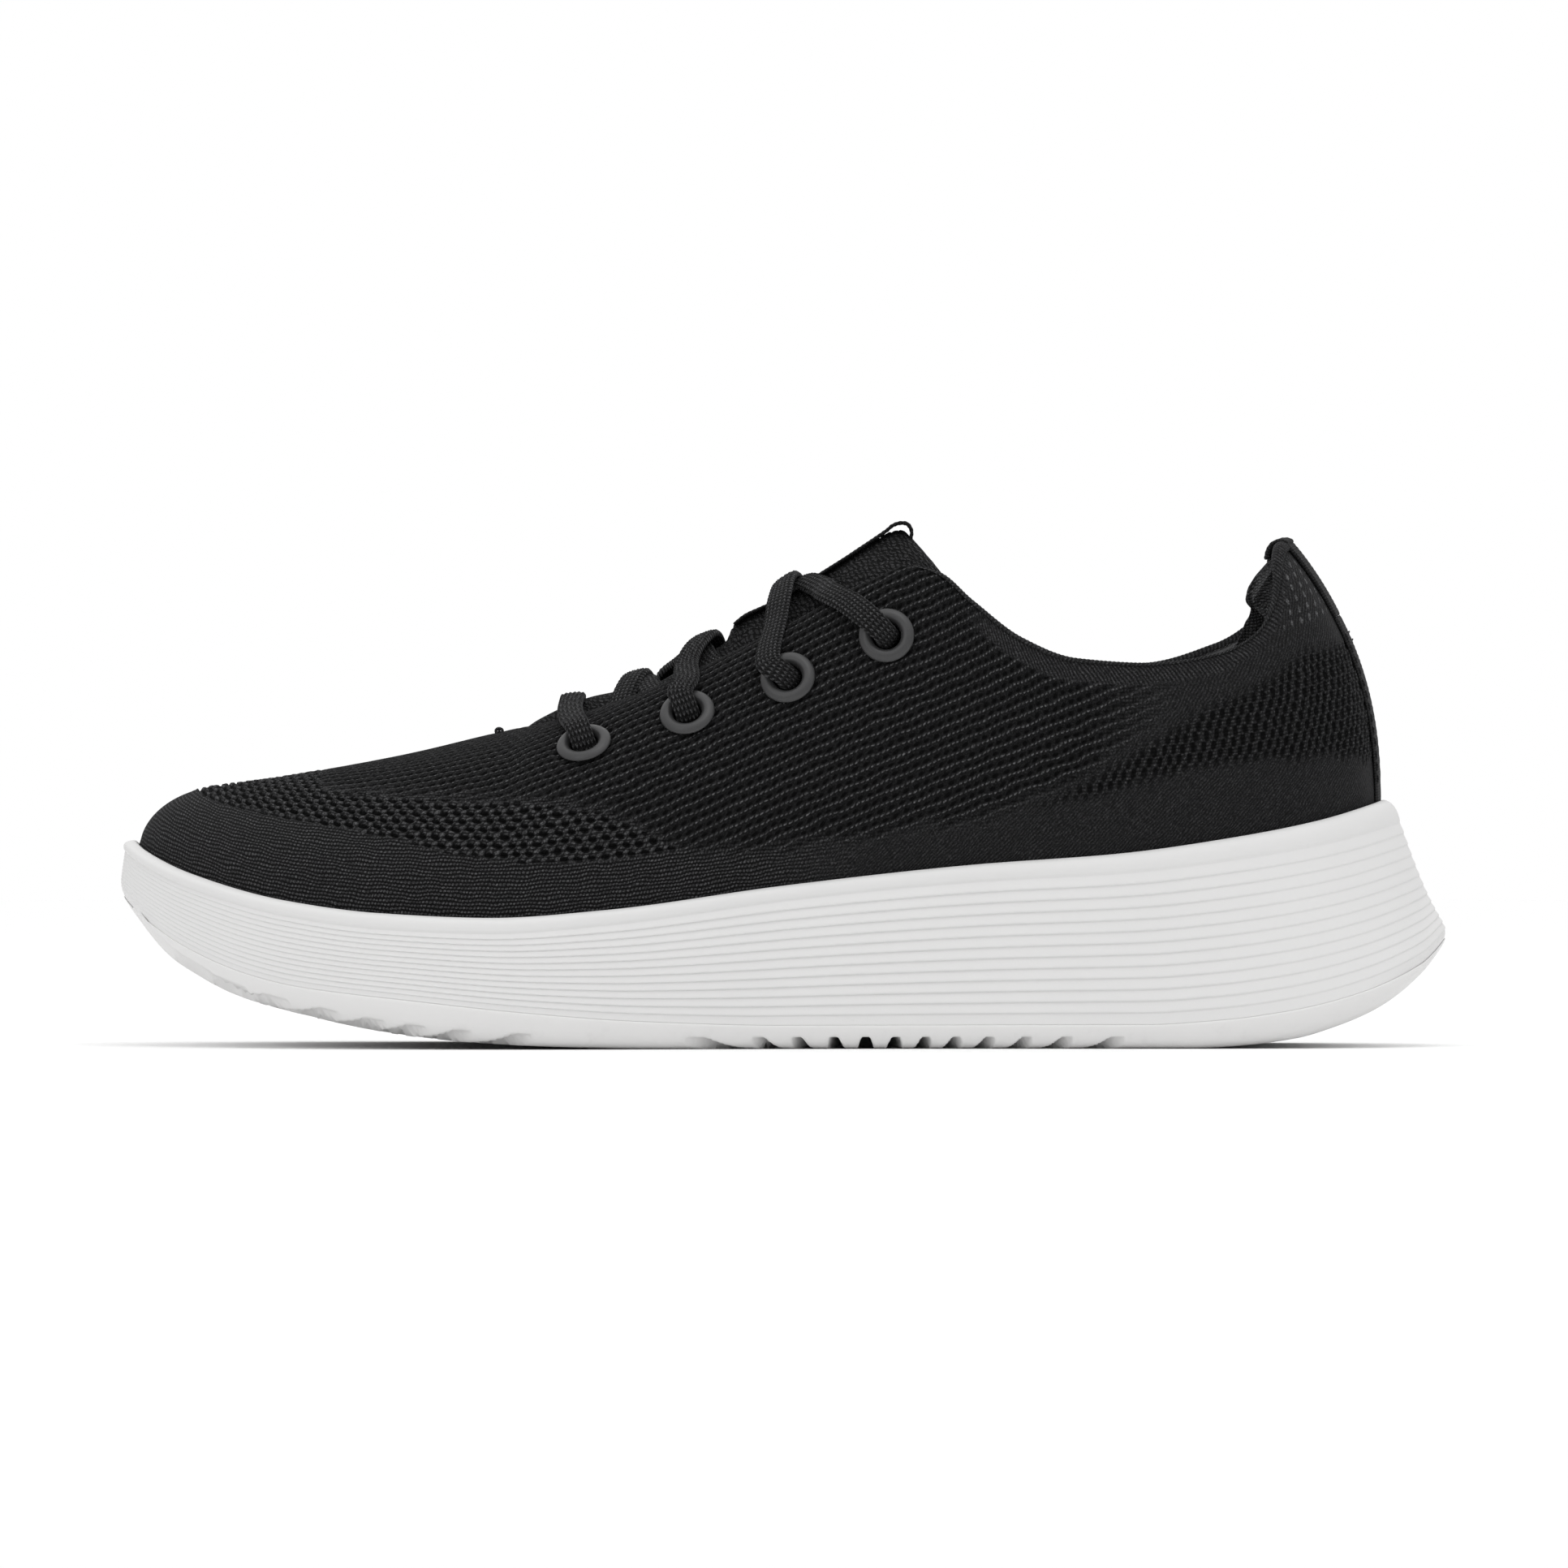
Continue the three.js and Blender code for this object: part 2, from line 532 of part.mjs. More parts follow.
/** A tape of a given width and thickness whose centre line runs through points in the plane y = 0. */
function tape(points, width, thickness) {
  const line = new THREE.SplineCurve(points.map((p) => new THREE.Vector2(p.x, p.z)));
  const count = 4 * (points.length - 1);
  const side = (offset) => spread(0, 1, count).map((t) => {
    const along = line.getTangent(t);
    return line.getPoint(t).add(new THREE.Vector2(-along.y, along.x).multiplyScalar(offset));
  });
  const section = new THREE.Shape([...side(thickness / 2), ...side(-thickness / 2).reverse()]);
  return new THREE.ExtrudeGeometry(section, { depth: width, bevelEnabled: false })
    .rotateX(Math.PI / 2).translate(0, width / 2, 0);
}

/** The tape loop sewn over the tip of the tongue: it starts on its front face and ends behind its edge. */
function tongueLoop() {
  const front = tonguePoint(0.428, 0);
  const tip = tonguePoint(TONGUE.tip, 0);
  front.y = tip.y = 0;
  const along = tip.clone().sub(front).normalize();
  const inward = new THREE.Vector3(along.z, 0, -along.x);
  const spot = (from, a, b) => from.clone().addScaledVector(along, a).addScaledVector(inward, b);
  const path = [spot(front, 0, -0.8), spot(front, 3.5, -1), spot(tip, -1, -1.8), spot(tip, 1.1, -1.2),
    spot(tip, 1.8, 0.6), spot(tip, 1.4, 3)];
  return tape(path, TONGUE_LOOP.width, TONGUE_LOOP.thickness);
}

// ---------- Eyelets and lace ----------

const ringOf = (profile) => new THREE.LatheGeometry(profile.map(([r, z]) => new THREE.Vector2(r, z)), 16)
  .rotateX(Math.PI / 2);

/** A flanged ring with its barrel. Height 0 is the face of the knit. */
const eyeletRing = () => ringOf([
  [EYELET.hole, -3.7], [EYELET.barrel, -3.7], [EYELET.barrel, GAP], [EYELET.flange, GAP],
  [EYELET.flange, 0.8], [EYELET.flange - 0.8, 1.3], [EYELET.hole + 0.7, 1.1], [EYELET.hole, 0.4], [EYELET.hole, -3.7],
]);

/** The flat ring that the barrel is closed on, inside the upper. */
const washerRing = () => ringOf([
  [EYELET.cut, -3.8], [EYELET.washer, -3.8], [EYELET.washer, -3.4], [EYELET.cut, -3.4], [EYELET.cut, -3.8],
]);

/** The eyelet on a side (-1 lateral, 1 medial) and row, as a point on the upper and its outward normal. */
function eyeletFrame(side, row) {
  const { w, v } = eyeletSpots[side > 0 ? 1 : 0][row];
  return { at: upperPoint(w, v), out: upperNormal(w, v), station: Math.abs(w) };
}

/** The station at which the middle of the tongue is at x. */
function tongueStation(x) {
  let [low, high] = [TONGUE.tip, TONGUE.base];
  while (high - low > 1e-5) {
    const middle = (low + high) / 2;
    if (tongueX(middle) > x) low = middle;
    else high = middle;
  }
  return low;
}

const LACE_OVER = 2.7; // height of the lace's centre line above the upper, on an eyelet's flange
const LACE_UNDER = 4.9; // its depth below the face of the upper, where it passes under the eyestay
const LACE_LIFT = { under: 1.1, low: 1.6, high: 4.1 }; // its height above the tongue: at the edge, and crossing

/**
 * Half of the lace, from the middle of the bar over the lowest eyelets to the loose end inside the shoe. Each
 * entry is [point, direction of the lace's flat face, cross-section].
 */
function laceHalf(start) {
  const path = [];
  const bend = (side, row, towards, inwards) => {
    const { at, out } = eyeletFrame(side, row);
    const along = towards.clone().sub(at).projectOnPlane(out).normalize();
    const spot = (a, h) => at.clone().addScaledVector(along, a).addScaledVector(out, h);
    const turn = [
      [spot(4.6, LACE_OVER), out, LACE.open],
      [spot(1.3, 1.9), out.clone().sub(along), LACE.gathered],
      [spot(0, -0.4), along, LACE.gathered],
      [spot(0, -2.9), along, LACE.gathered],
      [spot(1.6, -LACE_UNDER + 0.2), out.clone().add(along), LACE.gathered],
      [spot(5, -LACE_UNDER), out, LACE.flat],
    ];
    path.push(...(inwards ? turn : turn.reverse()));
  };
  const edge = (side, c, over) => {
    const out = over ? upperNormal(side * c, 0.97) : tongueNormal(c, side * 0.5);
    if (over) return [upperPoint(side * c, 1).addScaledVector(out, LACE_OVER + 0.3), out, LACE.open];
    return [tonguePoint(c, side * 0.5).addScaledVector(out, LACE_LIFT.under), out, LACE.flat];
  };
  const overTongue = (side, fromStation, toStation, lift) => {
    for (const q of [0.2, 0, -0.2]) {
      const c = THREE.MathUtils.lerp(fromStation, toStation, (1 - q) / 2);
      const out = tongueNormal(c, side * q);
      path.push([tonguePoint(c, side * q).addScaledVector(out, lift), out, LACE.open]);
    }
  };
  const barStation = eyeletFrame(start, 0).station + 0.006;
  const barEdge = edge(start, barStation, true);
  path.push([tonguePoint(barStation, 0).addScaledVector(UP, LACE_LIFT.low), UP, LACE.open], barEdge);
  bend(start, 0, barEdge[0], true);
  let side = start;
  LACE_CROWNS.forEach((crownX, row) => {
    const middle = tongueStation(crownX);
    const here = THREE.MathUtils.lerp(eyeletFrame(side, row).station, middle, 0.55);
    const there = THREE.MathUtils.lerp(eyeletFrame(-side, row + 1).station, middle, 0.55);
    const leave = edge(side, here, row > 0);
    const arrive = edge(-side, there, row === 2);
    path.push(leave);
    overTongue(side, here, there, side < 0 ? LACE_LIFT.high : LACE_LIFT.low);
    path.push(arrive);
    bend(-side, row + 1, arrive[0], row === 2);
    side = -side;
  });
  path.pop();
  const { w, v } = eyeletSpots[side > 0 ? 1 : 0][3];
  const tail = [[-0.001, -0.07, 5.2], [-0.004, -0.16, 5], [-0.008, -0.3, 5.2], [-0.012, -0.42, 6]];
  for (const [dc, dv, depth] of tail)
    path.push([underUpper(w + side * dc, v + dv, depth), upperNormal(w, v + dv), LACE.flat]);
  return path;
}

/** The lace from one loose end to the other, as oval rings along its path that keep its flat face. */
function laceRings() {
  const path = [...laceHalf(-1).reverse(), ...laceHalf(1).slice(1)];
  const curve = new THREE.CatmullRomCurve3(path.map(([at]) => at), false, "centripetal");
  const perSpan = 2;
  const last = (path.length - 1) * perSpan;
  const face = path[0][1].clone();
  return spread(0, last, last).map((i) => {
    const span = Math.min(Math.floor(i / perSpan), path.length - 2);
    const share = i / perSpan - span;
    const tangent = curve.getTangent(i / last);
    face.projectOnPlane(tangent).normalize();
    for (const [[, wanted], weight] of [[path[span], 1 - share], [path[span + 1], share]]) {
      const level = wanted.clone().projectOnPlane(tangent);
      face.addScaledVector(level, 0.8 * weight * (level.dot(face) < 0 ? -1 : 1));
    }
    face.projectOnPlane(tangent).normalize();
    const side = new THREE.Vector3().crossVectors(tangent, face);
    const size = [0, 1].map((k) => THREE.MathUtils.lerp(path[span][2][k], path[span + 1][2][k], share));
    return spread(0, 2 * Math.PI, 8).slice(0, -1).map((angle) => curve.getPoint(i / last)
      .addScaledVector(side, (size[0] / 2) * Math.cos(angle))
      .addScaledVector(face, (size[1] / 2) * Math.sin(angle)));
  });
}

/** A closed solid through rings of points, with a flat fan at each end. */
function loft(rings) {
  const n = rings[0].length;
  const triangles = [];
  for (let k = 0; k < rings.length - 1; k++)
    for (let i = 0; i < n; i++) {
      const [a, b] = [k * n + i, k * n + ((i + 1) % n)];
      triangles.push([b, a, b + n], [b + n, a, a + n]);
    }
  const end = (rings.length - 1) * n;
  for (let i = 1; i < n - 1; i++) triangles.push([0, i, i + 1], [end, end + i + 1, end + i]);
  return geometryOf(rings.flat(), triangles);
}

/** The stiff sleeve on a loose end of the lace: the last ring of the lace carried on for a short way. */
function aglet(last, before) {
  const along = centreOf(last).sub(centreOf(before)).normalize();
  const place = (distance, scale) => last.map((p) => p.clone().sub(centreOf(last)).multiplyScalar(scale)
    .add(centreOf(last)).addScaledVector(along, distance));
  return loft([place(GAP, 0.8), place(2, 0.8), place(16, 0.62), place(17, 0.4)]);
}

const centreOf = (ring) => ring.reduce((sum, p) => sum.add(p), new THREE.Vector3()).divideScalar(ring.length);

// ---------- Assembly ----------

const FINISH = {
  knit: { color: 0x1b1b1c, roughness: 0.95, metalness: 0 },
  lining: { color: 0x222223, roughness: 0.95, metalness: 0 },
  tape: { color: 0x161617, roughness: 0.8, metalness: 0 },
  foam: { color: 0x3a3a3c, roughness: 0.9, metalness: 0 },
  midsole: { color: 0xe6e6e6, roughness: 0.55, metalness: 0 },
  rubber: { color: 0xdedede, roughness: 0.5, metalness: 0 },
  stiffener: { color: 0x8a8a86, roughness: 0.7, metalness: 0 },
  board: { color: 0xcfcac0, roughness: 0.9, metalness: 0 },
  metal: { color: 0x4c4c4e, roughness: 0.4, metalness: 0.6 },
  aglet: { color: 0x101010, roughness: 0.3, metalness: 0 },
};

const model = new THREE.Group();

function addPart(name, geometry, finish) {
  const mesh = new THREE.Mesh(geometry, new THREE.MeshStandardMaterial(FINISH[finish]));
  mesh.name = name;
  model.add(mesh);
  return mesh;
}

function addHalves(name, geometry, finish) {
  const [front, rear] = splitAtFlex(geometry);
  addPart(`${name}_forefoot`, front, finish);
  addPart(`${name}_heel`, rear, finish);
}

addHalves("outsole", outsole(), "rubber");
addHalves("midsole", midsole(), "midsole");
addHalves("strobel_board", footbedLayer(2.2, GAP, 1.5), "board");
addHalves("insole_foam", footbedLayer(2.6, 1.8, 5.2), "foam");
addHalves("insole_cloth", footbedLayer(2.8, 5.5, 6.1), "lining");

addPart("knit_upper", knitUpper(), "knit");
addPart("toe_puff", toePuff(), "stiffener");
addPart("heel_counter", heelCounter(), "stiffener");
addPart("heel_lining", heelLining(), "lining");
addPart("collar_binding", collarBinding(), "knit");
addPart("throat_bar_tack", barTack(), "tape");
addPart("heel_strip", heelStrip(), "tape");
addPart("heel_pull_loop", heelLoop(), "tape");

addPart("tongue_knit", tongueLayer(0, 0, 0, 1.2), "knit");
addPart("tongue_foam", tongueLayer(4, 1, 1.6, 3.8), "foam");
addPart("tongue_lining", tongueLayer(3, 1, 4.2, 5), "lining");
addPart("tongue_loop", tongueLoop(), "tape");

for (const side of [-1, 1]) {
  const label = side < 0 ? "lateral" : "medial";
  const spots = eyeletSpots[side > 0 ? 1 : 0];
  addPart(`collar_pad_${label}`, collarPad(side), "foam");
  addPart(`eyestay_${label}`, eyestay(side, spots), "stiffener");
  spots.forEach((spot, row) => {
    placeAtEyelet(addPart(`eyelet_${label}_${row + 1}`, eyeletRing(), "metal"), spot);
    placeAtEyelet(addPart(`eyelet_washer_${label}_${row + 1}`, washerRing(), "metal"), spot);
  });
}

const rings = laceRings();
addPart("shoelace", loft(rings), "knit");
addPart("aglet_lateral", aglet(rings.at(-1), rings.at(-2)), "aglet");
addPart("aglet_medial", aglet([...rings[0]].reverse(), rings[1]), "aglet");

export default model;
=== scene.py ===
"""A running shoe: knit upper on a ribbed foam midsole and a rubber outsole, laced over a padded knit tongue.

The shape tables are in millimetres for a shoe of REFERENCE_LENGTH. MM scales them to the frame's own box.
+X is the heel, -X the toe, -Y the lateral side, +Y the medial side, +Z up, with the ground at z = 0.
"""
import math

import bpy
import numpy as np
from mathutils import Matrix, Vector


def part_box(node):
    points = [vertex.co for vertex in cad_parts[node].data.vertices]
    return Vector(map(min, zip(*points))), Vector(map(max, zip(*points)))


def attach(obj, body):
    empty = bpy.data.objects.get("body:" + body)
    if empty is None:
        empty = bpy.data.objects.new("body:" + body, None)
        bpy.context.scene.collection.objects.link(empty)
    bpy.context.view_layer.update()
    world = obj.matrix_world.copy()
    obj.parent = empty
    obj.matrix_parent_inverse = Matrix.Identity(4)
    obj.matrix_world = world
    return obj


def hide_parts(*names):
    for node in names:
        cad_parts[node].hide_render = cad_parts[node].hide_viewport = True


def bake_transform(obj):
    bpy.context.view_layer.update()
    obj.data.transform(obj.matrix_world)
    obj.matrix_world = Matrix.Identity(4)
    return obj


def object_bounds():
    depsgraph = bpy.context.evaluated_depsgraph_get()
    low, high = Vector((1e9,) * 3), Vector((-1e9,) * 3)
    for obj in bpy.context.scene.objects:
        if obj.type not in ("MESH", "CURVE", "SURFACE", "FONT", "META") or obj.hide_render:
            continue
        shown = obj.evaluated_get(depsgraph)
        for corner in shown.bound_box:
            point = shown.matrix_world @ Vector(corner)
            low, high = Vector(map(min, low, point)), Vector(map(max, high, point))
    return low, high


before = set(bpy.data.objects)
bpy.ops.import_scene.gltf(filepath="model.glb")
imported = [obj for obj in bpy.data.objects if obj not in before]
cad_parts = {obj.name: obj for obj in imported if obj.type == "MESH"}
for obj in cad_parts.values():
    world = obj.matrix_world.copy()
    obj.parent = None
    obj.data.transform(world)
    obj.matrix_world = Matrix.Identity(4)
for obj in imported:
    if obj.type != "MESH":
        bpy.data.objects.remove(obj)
CAD_LOW, CAD_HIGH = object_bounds()
REFERENCE_LENGTH = 300.2
MM = (CAD_HIGH.x - CAD_LOW.x) / REFERENCE_LENGTH

# ---------------------------------------------------------------- shape tables, in reference millimetres

KNIT = 1.6  # thickness of the knit
LIP = 2.0  # width of the midsole's rim
FEATHER_GAP = 0.9  # the upper stands this far inside the rim's inner edge in the frame

SOLE_OUTLINE = [
    (150, -1), (143, -24), (125, -37.5), (95, -42), (50, -42), (10, -44), (-25, -49), (-57, -53.8),
    (-88, -51), (-116, -39), (-138, -19), (-148.5, -1), (-150, 12), (-144, 27), (-126, 43), (-98, 52),
    (-66, 54), (-36, 50.5), (0, 43), (38, 38), (78, 38.5), (112, 36.5), (135, 26), (146, 13),
]
RIM_INSET = [(-150, 1.8), (-60, 3.2), (0, 4.6), (60, 5.5), (110, 7.5), (135, 11), (150, 13.6)]
RIM_Z = [
    (-148.5, 47), (-144.5, 43.9), (-133.5, 38.8), (-111.6, 32.9), (-89.7, 30.1), (-65, 29.1), (-40, 30.8),
    (0, 36.2), (42, 40.8), (75, 43.3), (100, 46.8), (120, 50.7), (138, 56),
]
PARTING_Z = [
    (-150, 34.6), (-145, 29.8), (-132.6, 21.9), (-119.5, 16.6), (-108, 13.9), (-82, 10.8), (-57.6, 8.2),
    (-31, 6.2), (0, 5.3), (80, 5.4), (97, 6.4), (112, 8.4), (127, 12), (142.3, 18.6), (150, 25.4),
]
GROUND_Z = [
    (-150, 34), (-137.8, 20.3), (-131, 16), (-123.5, 12.2), (-114, 9.2), (-104, 6.8), (-96, 5), (-82, 2.8),
    (-66, 1.3), (-45, 0.4), (-25, 0), (90, 0), (100, 0.5), (113.8, 2.2), (122.3, 4.6), (132.4, 8.8),
    (142.3, 15.9), (150, 24.4),
]
FOOTBED_Z = [
    (-147, 35.5), (-138, 31.5), (-125, 27), (-111.6, 23.5), (-89.7, 20), (-65, 18.6), (-40, 19.4),
    (0, 23), (42, 26.6), (75, 28.8), (100, 30), (136, 30.8),
]
# Top edge of the upper: station, x, centre y, half gap, z, medial lift. Station 0 is the heel, 1 the toe.
TOP_LINE = [
    (0, 113.5, -1, 0, 113, 0), (0.05, 111.8, -1, 5.5, 112.3, 0), (0.1, 110.6, -1, 11, 109.2, 0.4),
    (0.15, 110, -1, 16.5, 101.5, 1.4), (0.2, 107, -1, 21.5, 94, 3), (0.25, 97.5, -1, 26, 88, 2.4),
    (0.3055, 80, -1, 28, 85.6, 0.4), (0.34, 65, -1, 28.5, 86.6, 0.4), (0.37, 53, -0.5, 28, 91.2, 0.4),
    (0.4, 42, 0, 27, 99.6, 0.3), (0.425, 34, 0, 25.5, 106.2, 0.2), (0.44, 27.5, 0, 24, 107.6, 0.2),
    (0.457, 20, 0, 21.5, 104.8, 0.1), (0.487, 5, 0, 18, 97, 0), (0.52, -12, 0, 15, 88.2, 0),
    (0.5551, -28, 0.5, 14.4, 81, 0), (0.59, -43, 1, 11, 75.6, 0), (0.62, -55, 1.5, 6.5, 72.3, 0),
    (0.6333, -62, 2, 0, 70.8, 0), (0.7043, -82, 3, 0, 66.2, 0), (0.7829, -99, 4, 0, 62.7, 0),
    (0.8704, -112, 5.5, 0, 60.4, 0), (0.9399, -120, 6.5, 0, 59.2, 0), (1, -124, 7, 0, 58.6, 0),
]
THROAT = 0.6333  # station where the throat ends
# Exponents of the upper's cross-section by station: how square it is inwards and upwards.
CURVE_IN = [(0, 1), (0.2, 1.2), (0.35, 1.3), (0.5, 1.6), (0.63, 2), (1, 2)]
CURVE_UP = [(0, 2.4), (0.2, 2.2), (0.35, 2), (1, 2)]
# Middle line of the tongue: station, x, z.
TONGUE_LINE = [
    (0.398, 27.6, 117.2), (0.402, 26.4, 116.6), (0.425, 20, 113.4), (0.44, 15, 110.1), (0.457, 9, 106.3),
    (0.487, -2, 99.6), (0.505, -9.5, 96.0), (0.511, -11.3, 94.3), (0.519, -13.2, 90.6), (0.53, -18, 88.2),
    (0.5551, -30, 81.2), (0.577, -38, 79.7), (0.59, -44, 78.4), (0.615, -55, 73.6), (0.6333, -62, 68.8),
    (0.65, -69, 65.6),
]
TONGUE_BASE, TONGUE_TIP = 0.648, 0.4  # stations of its ends
TONGUE_DEPTH, TONGUE_EDGE = 6.4, 0.55  # how far its edges lie under the upper, and at which v they end


# ---------------------------------------------------------------- curves

def curve(points):
    """A monotone cubic through (x, y) points, for a number or an array."""
    xs, ys = np.array(points, float).T
    slope = np.diff(ys) / np.diff(xs)
    tangent = np.empty(len(xs))
    tangent[0], tangent[-1] = slope[0], slope[-1]
    before, after = slope[:-1], slope[1:]
    with np.errstate(divide="ignore", invalid="ignore"):
        harmonic = 2 * before * after / (before + after)
    tangent[1:-1] = np.where(before * after > 0, harmonic, 0)

    def at(x):
        x = np.clip(x, xs[0], xs[-1])
        i = np.clip(np.searchsorted(xs, x) - 1, 0, len(xs) - 2)
        h = xs[i + 1] - xs[i]
        t = (x - xs[i]) / h
        t2, t3 = t * t, t * t * t
        return ((2 * t3 - 3 * t2 + 1) * ys[i] + (t3 - 2 * t2 + t) * h * tangent[i]
                + (3 * t2 - 2 * t3) * ys[i + 1] + (t3 - t2) * h * tangent[i + 1])

    return at


def columns(table):
    """One curve per column of a table whose first column is the parameter."""
    return [curve([(row[0], row[k]) for row in table]) for k in range(1, len(table[0]))]


def catmull(p0, p1, p2, p3, t):
    """The centripetal Catmull-Rom span from p1 to p2, at t from 0 to 1."""
    spans = (p1 - p0, p2 - p1, p3 - p2)
    k0, k1, k2 = (np.maximum(np.linalg.norm(q, axis=-1, keepdims=True), 1e-6) ** 0.5 for q in spans)
    m1 = ((p1 - p0) / k0 - (p2 - p0) / (k0 + k1) + (p2 - p1) / k1) * k1
    m2 = ((p2 - p1) / k1 - (p3 - p1) / (k1 + k2) + (p3 - p2) / k2) * k1
    t2, t3 = t * t, t * t * t
    return (2 * t3 - 3 * t2 + 1) * p1 + (t3 - 2 * t2 + t) * m1 + (3 * t2 - 2 * t3) * p2 + (t3 - t2) * m2


def spline(points, per_span, closed=False):
    """A centripetal Catmull-Rom line through points, as an array of per_span samples for each span."""
    p = np.array(points, float)
    if closed:
        p = np.vstack([p[-1], p, p[:2]])
    else:
        p = np.vstack([2 * p[0] - p[1], p, 2 * p[-1] - p[-2]])
    t = np.arange(per_span)[:, None] / per_span
    out = [catmull(*span, t) for span in zip(p[:-3], p[1:-2], p[2:-1], p[3:])]
    return np.vstack(out if closed else out + [p[-2:-1]])


def ease(low, high, x):
    """0 below low and 1 above high, smooth between them."""
    t = np.clip((x - low) / (high - low), 0, 1)
    return t * t * (3 - 2 * t)


def mix(a, b, t):
    """a at t = 0, b at t = 1."""
    return a + (b - a) * t


def unit(v):
    """Vectors of length 1."""
    return v / np.maximum(np.linalg.norm(v, axis=-1, keepdims=True), 1e-9)


rim_inset, rim_z, parting_z = curve(RIM_INSET), curve(RIM_Z), curve(PARTING_Z)
ground_z, footbed_z = curve(GROUND_Z), curve(FOOTBED_Z)
top_x, top_centre, top_gap, top_z, top_lift = columns(TOP_LINE)
tongue_x, tongue_z = columns(TONGUE_LINE)
curve_in, curve_up = curve(CURVE_IN), curve(CURVE_UP)

LOOP = spline(SOLE_OUTLINE, 100, closed=True)
ALONG = unit(np.roll(LOOP, -1, axis=0) - np.roll(LOOP, 1, axis=0))
INWARD = np.stack([ALONG[:, 1], -ALONG[:, 0]], axis=1)


class Outline:
    """The sole's plan outline moved in by inset(x), with both sides read by station: 0 heel, 1 toe."""

    def __init__(self, inset):
        p = LOOP + INWARD * inset(LOOP[:, 0])[:, None]
        back = p[:, 0].argmax()
        p = np.roll(p, -back, axis=0)
        tip = p[:, 0].argmin()
        self.back, self.tip = p[0, 0], p[tip, 0]
        self.sides = {}
        for side, line in ((-1, p[:tip + 1]), (1, np.vstack([p[tip:], p[:1]])[::-1])):
            share = np.clip((self.back - line[:, 0]) / (self.back - self.tip), 0, 1)
            station = np.maximum.accumulate(np.arccos(1 - 2 * share) / math.pi)
            self.sides[side] = (station, line[:, 1])

    def x(self, c):
        """x at a station: stations lie closer together at the heel and the toe."""
        return mix(self.back, self.tip, (1 - np.cos(np.pi * c)) / 2)

    def y(self, side, c):
        station, y = self.sides[side]
        return np.interp(c, station, y)

    def ring(self, cs, z):
        """Points round the outline at the given stations, by the medial side to the toe and back.

        z is their height: a function of x, or an array.
        """
        c = np.concatenate([cs, cs[-2:0:-1]])
        medial = np.arange(len(c)) < len(cs)
        x = self.x(c)
        y = np.where(medial, self.y(1, c), self.y(-1, c))
        return np.stack([x, y, z(x) if callable(z) else z], axis=1)


FEATHER = Outline(lambda x: rim_inset(x) + LIP + FEATHER_GAP)
SNUG = 0.7  # how far the visible lip and the upper close the frame's clearance between them


def upper_point(w, v):
    """A point of the upper's outside.

    w runs from -1 at the toe by the lateral side to 0 at the heel, and by the medial side to 1.
    v runs from 0 at the rim to 1 at the top edge.
    """
    w, v = np.broadcast_arrays(np.asarray(w, float), np.asarray(v, float))
    w = np.where(w > 1, w - 2, np.where(w < -1, w + 2, w))
    c = np.abs(w)
    medial = w > 0
    x = FEATHER.x(c)
    y = np.where(medial, FEATHER.y(1, c), FEATHER.y(-1, c))
    rim = rim_z(x)
    angle = np.pi / 2 * np.clip(v, 0, 1)
    up = np.sin(angle) ** (2 / curve_up(c))
    inward = 1 - np.maximum(np.cos(angle), 0) ** (2 / curve_in(c))
    gap = top_centre(c) + np.where(medial, 1, -1) * top_gap(c)
    top = top_z(c) + medial * top_lift(c)
    z = np.where(v < 0, mix(rim, footbed_z(x), -v), mix(rim, top, up))
    return np.stack([mix(x, top_x(c), inward), mix(y, gap, inward), z], axis=-1)


STEP = 0.004  # in u and v, for normals


def normal_of(at, u, v):
    """Normal of the surface at(u, v), towards the side from which u runs left to right and v upwards."""
    along = at(u + STEP, v) - at(u - STEP, v)
    up = at(u, v + STEP) - at(u, v - STEP)
    return unit(np.cross(along, up))


def upper_normal(w, v):
    """The upper's outward direction."""
    return normal_of(upper_point, w, np.minimum(v, 1 - STEP))


def under_upper(w, v, depth):
    """A point at a depth under the upper's outside."""
    return upper_point(w, v) - upper_normal(w, v) * np.asarray(depth)[..., None]


def upper_spot(x, z, side):
    """The (w, v) on one side of the upper whose side view position is (x, z)."""
    c, v, reach = 0.52, 0.7, 0.14  # the search starts at the middle of the lacing and closes in
    for _ in range(5):
        cs = c + np.linspace(-reach, reach, 25)[:, None]
        vs = np.minimum(v + 2 * np.linspace(-reach, reach, 25)[None], 1)
        p = upper_point(side * cs, vs)
        i, j = np.unravel_index(np.hypot(p[..., 0] - x, p[..., 2] - z).argmin(), p.shape[:2])
        c, v, reach = cs[i, 0], vs[0, j], reach / 8
    return side * c, v


def run_along(points, axis=0):
    """Lengths along a line of points, or along every line of a grid of points, from 0."""
    step = np.linalg.norm(np.diff(points, axis=axis), axis=-1)
    start = np.zeros_like(np.take(step, [0], axis))
    return np.concatenate([start, np.cumsum(step, axis=axis)], axis=axis)


def columns_at(places, known, values):
    """Each column of values, which are given at the known places, read at other places."""
    return np.stack([np.interp(places, known, column) for column in values.T], axis=1)


def even_stations(line, count, low=0.0, high=1.0):
    """count + 1 stations from low to high, evenly spaced along line(c)."""
    c = np.linspace(low, high, 4001)
    run = run_along(line(c))
    return np.interp(np.linspace(0, run[-1], count + 1), run, c)


# ---------------------------------------------------------------- meshes

